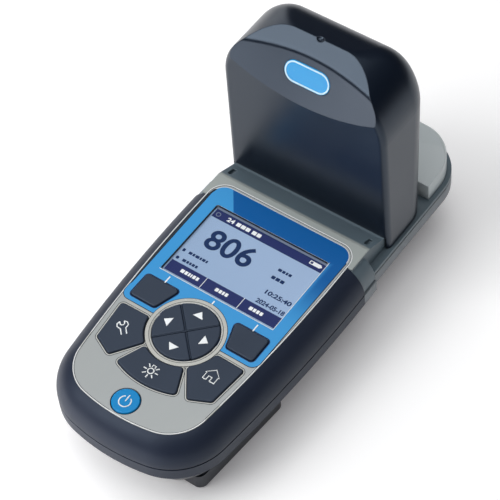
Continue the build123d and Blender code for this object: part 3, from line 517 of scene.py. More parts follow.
class Finishes:
    """Every material of the model, by the name of the finish."""

    def __init__(self) -> None:
        """Build the shared effects and all materials."""
        SharedEffects().build()
        white = (222, 224, 222)
        plain = partial(Finish, grain_depth=0.0)
        printed = partial(plain, edge_light=0.0)
        recipes = [
            HullPlastic("hull_plastic", (112, 120, 126), (98, 106, 112), 0.45, grain_depth=0.10,
                        edge_light=0.3),
            CasePlastic("case_plastic", (92, 107, 116), (84, 98, 108), 0.42, grain_depth=0.08,
                        edge_light=0.45),
            Finish("tail_plastic", (200, 208, 210), (190, 199, 202), 0.38, edge_light=0.35),
            Finish("grip_rubber", (32, 38, 53), (38, 43, 58), 0.46, grain_depth=0.10, edge_light=0.14,
                   specular=0.3, sheen_tint=(0.7, 0.83, 1.0)),
            Finish("hood_plastic", (3, 10, 25), (6, 14, 29), 0.31, grain_depth=0.03, edge_light=0.6,
                   edge_radius=0.6, specular=0.62, smudge=0.02, sheen_tint=(0.64, 0.8, 1.0)),
            PlatePaint("plate_paint", (166, 170, 170), (158, 163, 164), 0.36, metallic=0.15,
                       grain_depth=0.03, edge_light=0.5, edge_radius=0.25),
            Finish("ring_paint", (190, 190, 184), (182, 183, 178), 0.3, metallic=0.15, grain_depth=0.02,
                   edge_light=0.6, edge_radius=0.15),
            # The next two also make painted highlights: along the plate's edge and round the grey keys.
            plain("line_light", Ink.LINE_LIGHT.value, white, 0.3, metallic=0.2, edge_radius=0.06),
            plain("soft_highlight", (196, 197, 192), (186, 188, 184), 0.35, edge_radius=0.06),
            # Also painted shade round the power key, beside the film and in the window.
            plain("line_dark", Ink.LINE_DARK.value, (28, 36, 46), 0.5, specular=0.25),
            PanelFilm("panel_film", Ink.PANEL_LIGHT.value, (44, 134, 204), 0.34, grain_depth=0.02,
                      edge_light=0.3, edge_radius=0.05, specular=0.25),
            # Painted shade round the soft keys.
            printed("shade_blue", (4, 46, 96), (8, 52, 104), 0.5),
            Finish("key_rubber", (38, 47, 63), (34, 42, 57), 0.55, grain_depth=0.08, edge_light=0.14,
                   edge_radius=0.2, sheen_tint=(0.75, 0.87, 1.0)),
            Finish("power_key", (0, 132, 194), (0, 120, 184), 0.4, grain_depth=0.03, edge_light=0.1,
                   edge_radius=0.2, specular=0.3),
            printed("mark_white", Ink.WHITE.value, white, 0.5),
            ScreenGround("screen_ground", Ink.SCREEN_GROUND.value, (148, 173, 205), 0.4,
                         grain_depth=0.0, edge_light=0.0),
            # Painted shade on the screen's top strip, and the grey of the dial mark.
            printed("screen_shade_and_dial_grey", (112, 124, 146), (104, 116, 140), 0.4),
            printed("screen_navy", Ink.SCREEN_NAVY.value, (40, 48, 98), 0.5, specular=0.15),
            printed("screen_digit", Ink.SCREEN_DIGIT.value, (20, 46, 90), 0.5, specular=0.15),
            plain("badge_blue", (0, 146, 210), (0, 134, 200), 0.3, coat=0.15, edge_light=0.3,
                  specular=0.3),
            plain("badge_rim", (186, 222, 236), white, 0.25),
            Finish("seal_rubber", (26, 28, 32), (34, 36, 40), 0.7, grain_depth=0.15),
            Finish("silicone", (82, 85, 90), (74, 77, 82), 0.6, grain_depth=0.05),
            Finish("black_plastic", (20, 21, 23), (26, 27, 29), 0.5, grain_depth=0.1),
            Finish("spring_steel", (176, 178, 180), (150, 153, 156), 0.3, metallic=1.0, grain_depth=0.02,
                   edge_light=0.3),
            plain("diode_resin", (222, 224, 214), (204, 208, 198), 0.15, coat=0.6),
            CircuitBoard("circuit_board", (14, 74, 44), (34, 104, 62), 0.35, coat=0.4, grain_depth=0.02),
            CellJacket("cell_jacket", (38, 42, 48), (176, 128, 66), 0.3, coat=0.3, grain_depth=0.01),
        ]
        self.made = {recipe.name: recipe.material() for recipe in recipes}
        self.made["window_clear"] = self.clear_window()

    @staticmethod
    def clear_window() -> bpy.types.Material:
        """Clear scratch-resistant window: mostly see-through, with a faint sheen and wiping marks.

        Returns:
            The finished material.
        """
        polished, wiped = 0.06, 0.14
        made, surface, shader = new_material("window_clear")
        marks = surface.effect(SharedEffects.HANDLING, Scale=60.0, Specks=0.1).outputs["Mask"]
        tone = surface.blend(marks, linear((90, 110, 140)), linear((110, 128, 152)))
        surface.feed(shader, {"Base Color": tone, "Alpha": 0.03,
                              "Roughness": surface.spread(marks, 0.0, 1.0, polished, wiped)})
        return made


def linked(name: str, data: bpy.types.ID) -> bpy.types.Object:
    """Put a new object into the scene.

    Args:
        name: its name.
        data: its mesh, curve, light or camera.

    Returns:
        The object.
    """
    made = bpy.data.objects.new(name, data)
    bpy.context.scene.collection.objects.link(made)
    return made


def mesh_of(form: Form, name: str) -> bpy.types.Mesh:
    """Turn a form into a mesh.

    Args:
        form: the form. It is freed.
        name: the mesh's name.

    Returns:
        The mesh.
    """
    mesh = bpy.data.meshes.new(name)
    form.to_mesh(mesh)
    form.free()
    return mesh


def joined(forms: Iterable[Form]) -> Form:
    """Put several forms into one.

    Args:
        forms: the forms. They are freed.

    Returns:
        The one form.
    """
    whole = bmesh.new()
    for form in forms:
        mesh = mesh_of(form, "part")
        whole.from_mesh(mesh)
        bpy.data.meshes.remove(mesh)
    return whole


def drawn(curve: bpy.types.Curve) -> Form:
    """The form that a curve or a line of figures draws.

    Args:
        curve: the curve.

    Returns:
        The form.
    """
    drawing = linked("drawing", curve)
    mesh = bpy.data.meshes.new_from_object(drawing)
    bpy.data.objects.remove(drawing)
    form = bmesh.new()
    form.from_mesh(mesh)
    bpy.data.meshes.remove(mesh)
    return form


def moved(form: Form, x: float, y: float, z: float) -> Form:
    """Move a form to the right and the rear by millimetres, and up by metres."""
    bmesh.ops.translate(form, verts=form.verts[:], vec=(x * MM, y * MM, z))
    return form


def turned(form: Form, degrees: float) -> Form:
    """Turn a form to the left about the upright line through the origin."""
    bmesh.ops.rotate(form, verts=form.verts[:], matrix=Matrix.Rotation(math.radians(degrees), 3, "Z"))
    return form


def keep(form: Form, kept: Iterable[Face], context: str = "FACES") -> Form:
    """Delete all faces but some.

    Args:
        form: the form.
        kept: the faces that stay.
        context: FACES, or FACES_ONLY to leave the edges.

    Returns:
        The same form.
    """
    kept = set(kept)
    bmesh.ops.delete(form, geom=[face for face in form.faces if face not in kept], context=context)
    return form


def raised(form: Form, height: float, direction: Iterable[float] = (0.0, 0.0, 1.0)) -> Form:
    """Turn a flat skin into a plate.

    Args:
        form: the skin. It becomes the plate.
        height: the plate's thickness in metres.
        direction: the way in which it grows, of length 1.

    Returns:
        The plate.
    """
    grown = bmesh.ops.extrude_face_region(form, geom=form.faces[:])
    top = [v for v in grown["geom"] if isinstance(v, bmesh.types.BMVert)]
    bmesh.ops.translate(form, verts=top, vec=Vector(direction) * height)
    return form


def outline_form(corners: Iterable[Point], low: float, high: float,
                 round_by: float | tuple[float, ...] = 0.0) -> Form:
    """A flat prism with rounded corners.

    Args:
        corners: its corners in millimetres, in order.
        low: the height of its underside in metres.
        high: the height of its top in metres.
        round_by: how far the corners' rounding reaches along the edges, in millimetres, the same for
            all or one for each.

    Returns:
        The prism.
    """
    form = bmesh.new()
    points = [form.verts.new((x * MM, y * MM, low)) for x, y in corners]
    form.faces.new(points)
    reaches = round_by if isinstance(round_by, tuple) else (round_by,) * len(points)
    for point, reach in zip(points, reaches):
        if reach:
            bmesh.ops.bevel(form, geom=[point], offset=reach * MM, offset_type="OFFSET", segments=7,
                            profile=0.5, affect="VERTICES", material=-1)
    return raised(form, high - low)


def bar_form(sides: Sides, low: float, high: float, round_by: float = 0.0) -> Form:
    """A flat bar of given left, lower, right and upper side, otherwise as outline_form."""
    left, lower, right, upper = sides
    return outline_form([(left, lower), (right, lower), (right, upper), (left, upper)], low, high, round_by)


def disc_form(middle: Point, radius: float, low: float, high: float) -> Form:
    """A flat round plate.

    Args:
        middle: its middle in millimetres.
        radius: its radius in millimetres.
        low: the height of its underside in metres.
        high: the height of its top in metres.

    Returns:
        The plate.
    """
    form = bmesh.new()
    bmesh.ops.create_cone(form, cap_ends=True, segments=ROUND_STEPS, radius1=radius * MM,
                          radius2=radius * MM, depth=high - low)
    return moved(form, *middle, (low + high) / 2)


def ring_form(middle: Point, inner: float, outer: float, low: float, high: float) -> Form:
    """A flat ring with softly broken edges, spun from its cross-section.

    Args:
        middle: its middle in millimetres.
        inner: its inner radius in millimetres.
        outer: its outer radius in millimetres.
        low: the height of its underside in metres.
        high: the height of its top in metres.

    Returns:
        The ring.
    """
    form = bmesh.new()
    edge = 0.35 * (high - low)
    inside, outside = inner * MM, outer * MM
    section = [(inside, low), (outside, low), (outside, high - edge), (outside - edge, high),
               (inside + edge, high), (inside, high - edge)]
    face = form.faces.new([form.verts.new((x, 0, z)) for x, z in section])
    bmesh.ops.spin(form, geom=[face, *face.edges, *face.verts], cent=(0, 0, 0), axis=(0, 0, 1),
                   angle=math.tau, steps=ROUND_STEPS, use_merge=True)
    keep(form, {f for f in form.faces if len(f.verts) <= 4}, "FACES_ONLY")
    bmesh.ops.remove_doubles(form, verts=form.verts[:], dist=SAME_PLACE / 10)
    return moved(form, *middle, 0.0)


def combined(piece: Form, tools: Iterable[Form], how: Combine = Combine.CUT) -> Form:
    """Combine forms with exact booleans.

    Args:
        piece: the form that is worked on. It is freed.
        tools: the forms that are combined with it, one after the other. They are freed.
        how: what each tool does to the piece.

    Returns:
        The result.
    """
    used = []
    for form in (piece, *tools):
        bmesh.ops.recalc_face_normals(form, faces=form.faces[:])
        used.append(linked("blank", mesh_of(form, "blank")))
    blank, *cutters = used
    for cutter in cutters:
        step = blank.modifiers.new("step", "BOOLEAN")
        step.operation, step.solver, step.object = how.value, "EXACT", cutter
    bpy.context.view_layer.update()
    left = bmesh.new()
    left.from_mesh(blank.evaluated_get(bpy.context.evaluated_depsgraph_get()).to_mesh())
    for spent in used:
        bpy.data.objects.remove(spent)
    return left


def stroke_form(lines: Iterable[list[Point]], width: float, height: float, rise: float = 0.08) -> Form:
    """Printed strokes: round-ended lines, pressed nearly flat.

    Args:
        lines: each line's points in millimetres.
        width: the strokes' width in millimetres.
        height: the height that they lie at, in metres.
        rise: how far they stand up, in millimetres.

    Returns:
        The strokes.
    """
    curve = bpy.data.curves.new("stroke", "CURVE")
    curve.dimensions, curve.bevel_depth, curve.use_fill_caps = "3D", width / 2 * MM, True
    curve.bevel_resolution = 3
    for line in lines:
        spline = curve.splines.new("POLY")
        spline.points.add(len(line) - 1)
        for point, (x, y) in zip(spline.points, line):
            point.co = (x * MM, y * MM, 0, 1)
    form = drawn(curve)
    bmesh.ops.scale(form, verts=form.verts[:], vec=(1, 1, rise / (width / 2)))
    return moved(form, 0.0, 0.0, height)


def figures_form(text: str, left: float, low: float, width: float, height: float, weight: float,
                 level: float) -> Form:
    """Plain figures, fitted into a rectangle and made a mesh.

    Args:
        text: the figures.
        left: the rectangle's left side in millimetres.
        low: its lower side in millimetres.
        width: its width in millimetres.
        height: its height in millimetres.
        weight: how much bolder than usual, as a share of the letter size.
        level: the height that they lie at, in metres.

    Returns:
        The figures.
    """
    curve = bpy.data.curves.new("figures", "FONT")
    curve.body, curve.offset, curve.extrude, curve.resolution_u = text, weight, 0.01, 8
    form = drawn(curve)
    xs, ys = [v.co.x for v in form.verts], [v.co.y for v in form.verts]
    wide, tall = width * MM / (max(xs) - min(xs)), height * MM / (max(ys) - min(ys))
    bmesh.ops.translate(form, verts=form.verts[:], vec=(-min(xs), -min(ys), 0))
    bmesh.ops.scale(form, verts=form.verts[:], vec=(wide, tall, 0.001))
    return moved(form, left, low, level)


def arc_points(middle: Point, radius: float, start: float, end: float, steps: int) -> list[Point]:
    """Points along an arc.

    Args:
        middle: the arc's middle in millimetres.
        radius: its radius in millimetres.
        start: where it starts, in degrees from +X.
        end: where it ends, in degrees.
        steps: how many straight runs stand for it.

    Returns:
        The points, first to last.
    """
    angles = [math.radians(start + (end - start) * i / steps) for i in range(steps + 1)]
    return [(middle[0] + radius * math.cos(a), middle[1] + radius * math.sin(a)) for a in angles]


def packed_skin(node: str, wanted: Callable[[Face], bool]) -> Form:
    """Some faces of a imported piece, copied and joined into a skin.

    Args:
        node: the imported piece's name.
        wanted: tells which faces the skin has.

    Returns:
        The skin.
    """
    form = bmesh.new()
    form.from_mesh(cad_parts[node].data)
    bmesh.ops.remove_doubles(form, verts=form.verts[:], dist=SAME_PLACE)
    return keep(form, filter(wanted, form.faces))


def inset(form: Form, width: float) -> list[Face]:
    """Inset a skin from its own edge by millimetres, and return the new faces along the edge."""
    return bmesh.ops.inset_region(form, faces=form.faces[:], thickness=width * MM,
                                  use_boundary=True, use_even_offset=True)["faces"]


def pad_middle() -> Point:
    """Read where the arrow pad's middle is from the boxes of its four packed quarters.

    Returns:
        The middle in millimetres.
    """
    lows, highs = zip(*(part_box(f"arrow_key_{side}") for side in SIDES))
    middle = (Vector(map(min, *lows)) + Vector(map(max, *highs))) / 2 / MM
    return middle.x, middle.y


class Pieces:
    """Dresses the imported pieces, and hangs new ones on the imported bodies."""

    def __init__(self, finishes: Finishes) -> None:
        """Keep the finishes that the pieces wear."""
        self.finishes = finishes

    def dress(self, finish: str, *nodes: str) -> None:
        """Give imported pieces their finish.

        Args:
            finish: the finish's name.
            nodes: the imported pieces' names.
        """
        for node in nodes:
            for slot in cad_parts[node].material_slots:
                slot.material = self.finishes.made[finish]
            log.info("%s wears %s", node, finish)

    def add(self, name: str, form: Form, finish: str, slot: Slot, body: str = CASE,
            smooth: float = 30.0) -> None:
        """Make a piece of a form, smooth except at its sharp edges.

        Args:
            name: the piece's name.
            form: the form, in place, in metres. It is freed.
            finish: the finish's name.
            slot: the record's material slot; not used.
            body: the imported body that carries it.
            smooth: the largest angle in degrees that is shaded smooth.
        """
        bmesh.ops.recalc_face_normals(form, faces=form.faces[:])
        for face in form.faces:
            face.smooth = True
        for edge in form.edges:
            edge.smooth = edge.calc_face_angle(math.pi) < math.radians(smooth)
        mesh = mesh_of(form, name)
        mesh.materials.append(self.finishes.made[finish])
        piece = linked(name, mesh)
        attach(piece, body)
        log.info("%s: %d faces on %s", name, len(mesh.polygons), body)


@dataclass(frozen=True)
class EdgeLine:
    """A fine raised line along the plate's edges, only beside some keys or only away from them."""

    name: str
    finish: str
    start: float
    width: float
    rise: float
    keys: tuple[str, ...]
    beside_them: bool


@dataclass
class FacePrint:
    """Face plate: its fine border lines, some of them painted highlights and painted shade, the blue film,
    the pad's rings and the three ticks.
    """

    pieces: Pieces
    level_share: float = 0.9
    key_reach: float = 1.3
    plate_lines: tuple[EdgeLine, ...] = (
        # The next two are painted highlights along the plate's outer edge and round the grey keys.
        EdgeLine("plate_edge_highlight", "line_light", 0.0, 0.5, 0.06, (*BLUE_KEYS, *GREY_KEYS), False),
        EdgeLine("key_edge_highlights", "soft_highlight", 0.0, 0.4, 0.04, GREY_KEYS, True),
        EdgeLine("plate_hairline", "line_dark", 0.5, 0.24, 0.04, BLUE_KEYS, False),
        # Painted shade round the power key.
        EdgeLine("power_key_shade", "line_dark", 0.0, 0.22, 0.02, ("power_key",), True))
    # Painted shade: dark blue lines round the soft keys, where they stand proud of the film.
    key_shade_line: EdgeLine = EdgeLine("soft_key_shades", "shade_blue", 0.0, 0.4, 0.16, SOFT_KEYS, True)
    film_half_top: float = 37.9
    film_half_low: float = 37.3
    film_end: float = 25.7
    film_low_from_pad: float = 0.3
    film_rounds: tuple[float, ...] = (4.0, 4.0, 7.0, 7.0)
    film_lift: float = 0.09
    film_thickness: float = 0.05
    film_line_width: float = 0.3
    film_line_sink: float = 0.02
    pad_gap: float = 0.1
    cut_half_width: float = 40.0
    cut_below_pad: float = 5.0
    # The left band of painted shade:
    left_shade_overlap: float = 0.4
    left_shade_depth: float = 0.1
    left_shade_rise: float = 0.02
    left_shade_outer: tuple[Point, ...] = ((-36.6, 22.3), (-38.0, 21.1), (-38.75, 17.5), (-38.85, 0.0),
                                     (-38.72, -10.0), (-38.5, -20.0), (-38.15, -30.0), (-37.6, -38.0),
                                     (-37.3, -44.0))
    left_shade_inner_low: float = -42.0
    ring_inner: float = 15.9
    ring_outer: float = 18.3
    ring_low: float = 0.01
    ring_high: float = 0.22
    ring_groove: Point = (0.5, 0.75)
    ring_line: float = 0.22
    groove_sink: float = 0.02
    groove_rise: float = 0.03
    web_half_length: float = 14.9
    web_half_width: float = 0.18
    web_low: float = -2.0
    web_high: float = 0.9
    tick_half_width: float = 0.35
    tick_places: tuple[Point, ...] = ((-24.4, -35.0), (0.6, -32.9), (24.4, -35.0))
    tick_end: float = -30.6
    tick_levels: Point = (0.115, 0.165)
    tick_round: float = 0.1
    top: float = field(init=False)
    pad: Point = field(default_factory=pad_middle)

    def __post_init__(self) -> None:
        """Read the height of the plate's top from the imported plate."""
        self.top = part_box("face_plate")[1].z

    def build(self) -> None:
        """Make and dress everything on the plate."""
        self.pieces.dress("plate_paint", "face_plate")
        for line in self.plate_lines:
            self.edge_line(line)
        self.film()
        self.edge_line(self.key_shade_line)
        self.pad_rings()
        self.pad_web()
        self.ticks()

    def lay(self, name: str, form: Form, finish: str) -> None:
        """Lay a printed piece on the plate."""
        self.pieces.add(name, form, finish, Slot.PLATE)

    def plate_top(self) -> Form:
        """The plate's top skin, with the plate's own plan."""
        lowest = self.top - 10 * SAME_PLACE
        return packed_skin("face_plate", lambda face: face.normal.z >= self.level_share
                           and face.calc_center_median().z >= lowest)

    def beside(self, spot: Vector, box: tuple[Vector, Vector], round_key: bool) -> bool:
        """Whether a place on the plate is right beside a key.

        Args:
            spot: the place, in metres.
            box: the key's box.
            round_key: whether the key is round, and not as square as its box.

        Returns:
            True where the place is within reach of the key.
        """
        low, high = box
        reach = (high - low) / 2 + Vector((self.key_reach, self.key_reach, 0.0)) * MM
        away = spot - (low + high) / 2
        if round_key:
            return math.hypot(away.x, away.y) < reach.x
        return abs(away.x) < reach.x and abs(away.y) < reach.y

    def edge_line(self, line: EdgeLine) -> None:
        """A fine raised line, inset from the plate's edges.

        Args:
            line: its start, width and rise in millimetres, its keys, and whether it lies beside them.
        """
        form = self.plate_top()
        if line.start:
            bmesh.ops.delete(form, geom=inset(form, line.start), context="FACES")
        boxes = [(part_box(key), key == "power_key") for key in line.keys]
        kept = []
        for face in inset(form, line.width):
            spot = face.calc_center_median()
            if any(self.beside(spot, box, round_key) for box, round_key in boxes) == line.beside_them:
                kept.append(face)
        self.lay(line.name, raised(keep(form, kept), line.rise * MM), line.finish)

    def film_outline(self, grow: float, low: float, high: float) -> Form:
        """A prism with the film's plan.

        Args:
            grow: how far it stands out from the film's own edge, in millimetres.
            low: the height of its underside in metres.
            high: the height of its top in metres.

        Returns:
            The prism.
        """
        near, end = self.pad[1] + self.film_low_from_pad - grow, self.film_end + grow
        wide, narrow = self.film_half_top + grow, self.film_half_low + grow
        corners = [(-narrow, near), (narrow, near), (wide, end), (-wide, end)]
        return outline_form(corners, low, high, tuple(corner + grow for corner in self.film_rounds))

    def film(self) -> None:
        """The blue film, open where the plate is, its light end line, and its dark side lines and left band
        of painted shade.
        """
        low = self.top + self.film_lift * MM
        high = low + self.film_thickness * MM
        below, above = low - MM, high + MM
        pad = (self.pad, self.ring_outer + self.pad_gap, below, above)
        sheet = raised(moved(self.plate_top(), 0.0, 0.0, low - self.top), high - low)
        sheet = combined(sheet, [self.film_outline(0.0, below, above)], Combine.COMMON)
        self.lay("panel_film", combined(sheet, [disc_form(*pad)]), "panel_film")
        sink = self.film_line_sink
        split = self.film_end - self.film_rounds[-1]
        beside = (-self.cut_half_width, self.pad[1] - self.cut_below_pad, self.cut_half_width, split)
        # The second piece, the dark side lines with the left band, is painted shade beside the film's edge.
        for name, finish, how in (("film_end_line", "line_light", Combine.CUT),
                                  ("film_side_shades", "line_dark", Combine.COMMON)):
            line = combined(self.film_outline(self.film_line_width, self.top + sink * MM, high - sink * MM),
                            [self.film_outline(-sink, below, above), disc_form(*pad)])
            line = combined(line, [bar_form(beside, below, above)], how)
            if how is Combine.COMMON:
                line = joined([line, self.film_left_shade(split, high)])
            self.lay(name, line, finish)

    def film_left_shade(self, end: float, high: float) -> Form:
        """The dark band from the film's left side to the plate's light edge, pointed at its ends: painted
        shade, where the inner wall of the plate's rim lies in shadow.
        """
        corners = [*self.left_shade_outer, (self.left_shade_overlap - self.film_half_low, self.left_shade_inner_low),
                   (self.left_shade_overlap - self.film_half_top, end)]
        return outline_form(corners, high - self.left_shade_depth * MM, high + self.left_shade_rise * MM)

    def pad_rings(self) -> None:
        """The light ring round the arrow pad, and the fine dark lines on it and outside it."""
        low, high = self.top + self.ring_low * MM, self.top + self.ring_high * MM
        self.lay("pad_ring", ring_form(self.pad, self.ring_inner, self.ring_outer, low, high), "ring_paint")
        start, end = (self.ring_inner + part for part in self.ring_groove)
        sunk, proud = high - self.groove_sink * MM, high + self.groove_rise * MM
        lines = [ring_form(self.pad, start, end, sunk, proud),
                 ring_form(self.pad, self.ring_outer, self.ring_outer + self.ring_line, low, high)]
        self.lay("pad_ring_lines", joined(lines), "line_dark")

    def pad_web(self) -> None:
        """The thin web that stands between the four quarters of the arrow pad."""
        sides = (-self.web_half_length, -self.web_half_width, self.web_half_length, self.web_half_width)
        low, high = self.top + self.web_low * MM, self.top + self.web_high * MM
        bar, *across = [turned(bar_form(sides, low, high), degrees) for degrees in (45, -45)]
        web = moved(combined(bar, across, Combine.JOIN), *self.pad, 0.0)
        self.pieces.add("pad_web", web, "key_rubber", Slot.KEY)

    def ticks(self) -> None:
        """The three white ticks that lead from the display to the soft keys and the pad."""
        half = self.tick_half_width
        low, high = (self.top + level * MM for level in self.tick_levels)
        forms = [bar_form((x - half, near, x + half, self.tick_end), low, high, self.tick_round)
                 for x, near in self.tick_places]
        self.lay("panel_ticks", joined(forms), "mark_white")


@dataclass
class Display:
    """Liquid-crystal picture under the window: bars, figures, rows of blocks and small signs."""

    pieces: Pieces
    margin: float = 0.02
    layer_step: float = 0.012
    layer_depth: float = 0.008
    bar_left: float = -30.4
    bar_right: float = 31.2
    header: Point = (8.8, 13.0)
    header_line: float = 0.4
    header_shade: float = 0.25
    footer: Point = (-27.7, -21.3)
    dividers: Point = (-10.4, 10.3)
    divider_half: float = 0.15
    figures_level: float = 0.02
    figures: tuple[Text, ...] = (("806", -24.2, -8.0, 25.2, 11.9, 0.02),
                                  ("10:25:40", 15.9, -14.3, 14.0, 2.5, 0.035),
                                  ("2024-05-18", 15.0, -20.2, 15.2, 2.5, 0.035))
    number_level: float = 0.034
    number: Text = ("24", -22.8, 9.8, 3.9, 2.4, 0.03)
    block_gap: float = 0.4
    block_round: float = 0.25
    dark_rows: tuple[Row, ...] = (
        (13.6, -0.7, 1.5, (1.9, 1.5, 1.1, 1.5)), (13.4, -5.8, 1.8, (1.9, 2.1, 2.0)),
        (-26.2, -15.0, 1.5, (1.8, 1.2, 2.0, 1.0, 1.6, 0.9)), (-26.2, -19.9, 1.5, (1.9, 1.2, 1.1, 1.4, 1.2)))
    light_rows: tuple[Row, ...] = (
        (-17.6, 9.9, 2.1, (2.2, 2.3, 2.2)), (-8.8, 9.9, 2.1, (2.3, 2.2)),
        (-23.2, -25.3, 1.9, (1.9, 1.5, 1.0, 0.7, 1.5, 1.4)), (-3.8, -25.3, 1.9, (1.7, 1.4, 1.1, 1.5)),
        (15.0, -25.3, 1.9, (1.8, 1.4, 1.4, 1.5)))
    dot: tuple[Sides, float] = ((-29.7, -15.1, -28.3, -13.4), 0.3)
    round_dot: tuple[Sides, float] = ((-29.8, -20.1, -28.2, -18.4), 0.7)
    battery: tuple[Sides, float] = ((23.0, 10.4, 28.9, 12.4), 0.3)
    battery_end: tuple[Sides, float] = ((28.9, 10.9, 29.5, 11.9), 0.0)
    charge: Sides = (23.5, 10.8, 24.8, 12.0)
    dial_middle: Point = (-28.0, 10.9)
    dial_radii: Point = (0.85, 1.25)
    # Painted shade on the opening's far walls:
    far_shade_width: float = 0.14
    far_shade_gap: float = 0.01
    far_shade_end: float = 1.0
    far_shade_low: float = 0.03
    far_shade_sink: float = 0.02
    # Painted highlight on its near edges:
    near_highlight_width: float = 0.3
    near_highlight_low: float = 0.12
    near_highlight_high: float = 0.16
    start: Vector = field(init=False)
    end: Vector = field(init=False)
    level: float = field(init=False)

    def __post_init__(self) -> None:
        """Fill the window's plan, just under its lower face."""
        low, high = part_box("display_window")
        self.start, self.end = low / MM, high / MM
        self.level = low.z + 0.005 * MM

    def build(self) -> None:
        """Make and dress the display's pieces."""
        self.pieces.dress("black_plastic", "display_module")
        self.pieces.dress("window_clear", "display_window")
        self.ground()
        self.bars()
        figures = [self.text(row, self.figures_level) for row in self.figures]
        self.lay("screen_figures", "screen_digit", *figures)
        self.lay("screen_number", "mark_white", self.text(self.number, self.number_level))
        self.marks()
        self.window_edges()

    def lay(self, name: str, finish: str, *forms: Form) -> None:
        """Lay one piece of the picture, joined from its forms."""
        self.pieces.add(name, joined(forms), finish, Slot.GLASS)

    def text(self, row: Text, above: float) -> Form:
        """Figures of the picture, so many millimetres above its level."""
        return figures_form(*row, self.level + above * MM)

    def bar(self, left: float, low: float, right: float, high: float, layer: int = 1,
            round_by: float = 0.0) -> Form:
        """A flat bar of the picture between four sides, so many layers above the ground."""
        base = self.level + layer * self.layer_step * MM
        return bar_form((left, low, right, high), base, base + self.layer_depth * MM, round_by)

    def ground(self) -> None:
        """The lit ground, and the darker strip above the picture: painted shade where the window's upper
        wall shades the screen's border.
        """
        left, right = self.start.x + self.margin, self.end.x - self.margin
        low, high = self.start.y + self.margin, self.end.y - self.margin
        self.lay("screen_ground", "screen_ground", self.bar(left, low, right, high, 0))
        # Painted shade: the strip above the header is darker, as shaded by the window's upper wall.
        above = self.header[1] + self.header_line
        self.lay("screen_shade_strip", "screen_shade_and_dial_grey", self.bar(left, above, right, high))

    def bars(self) -> None:
        """The dark bars above and below, with fine lines over the one and between the other's fields."""
        left, right = self.bar_left, self.bar_right
        (low, high), (near, far) = self.header, self.footer
        self.lay("screen_bars", "screen_navy", self.bar(left, low, right, high),
                 self.bar(left, near, right, far))
        self.lay("screen_header_lines", "screen_digit",
                 self.bar(left, high, right, high + self.header_line),
                 self.bar(left, low - self.header_shade, right, low))
        half = self.divider_half
        self.lay("screen_dividers", "mark_white",
                 *(self.bar(x - half, near, x + half, far, 2) for x in self.dividers))

    def blocks(self, rows: Iterable[Row]) -> list[Form]:
        """Rows of short blocks.

        Args:
            rows: for each row its left and lower side, the blocks' height and each block's length, in
                millimetres.

        Returns:
            The blocks.
        """
        forms = []
        for left, low, height, lengths in rows:
            for length in lengths:
                forms.append(self.bar(left, low, left + length, low + height, 2, self.block_round))
                left += length + self.block_gap
        return forms

    def marks(self) -> None:
        """The rows of blocks, the battery sign and the small signs."""
        def signs(*drawn_signs: tuple[Sides, float]) -> list[Form]:
            """The small signs, as bars with rounded corners."""
            return [self.bar(*sides, 2, round_by) for sides, round_by in drawn_signs]

        self.lay("screen_marks", "screen_digit", *self.blocks(self.dark_rows),
                 *signs(self.dot, self.round_dot))
        self.lay("screen_light_marks", "mark_white", *self.blocks(self.light_rows),
                 *signs(self.battery, self.battery_end))
        base = self.level + 2 * self.layer_step * MM
        dial = ring_form(self.dial_middle, *self.dial_radii, base, base + 0.01 * MM)
        self.lay("screen_dial_mark", "screen_shade_and_dial_grey", dial)
        self.lay("screen_charge", "screen_navy", self.bar(*self.charge, 3))

    def window_edges(self) -> None:
        """The opening's thin bright edge on the near sides, a painted highlight, and a dark strip on the
        far sides, painted shade on the walls.
        """
        start, end, wide, glass = self.start, self.end, self.near_highlight_width, self.end.z
        gap, short = self.far_shade_gap, self.far_shade_end
        near = [(start.x - wide, start.y - wide, end.x + wide, start.y),
                (end.x, start.y, end.x + wide, end.y)]
        far = [(start.x + gap, start.y + short, start.x + self.far_shade_width, end.y - short),
               (start.x + short, end.y - self.far_shade_width, end.x - short, end.y - gap)]
        inside = self.level / MM + self.far_shade_low
        # Painted highlight on the near sides and painted shade on the far walls.
        for name, finish, sides, low, high in (
                ("window_near_highlight", "mark_white", near, glass + self.near_highlight_low, glass + self.near_highlight_high),
                ("window_far_shade", "line_dark", far, inside, glass - self.far_shade_sink)):
            painted_light_line = joined([bar_form(side, low * MM, high * MM) for side in sides])
            self.pieces.add(name, painted_light_line, finish, Slot.PLATE)


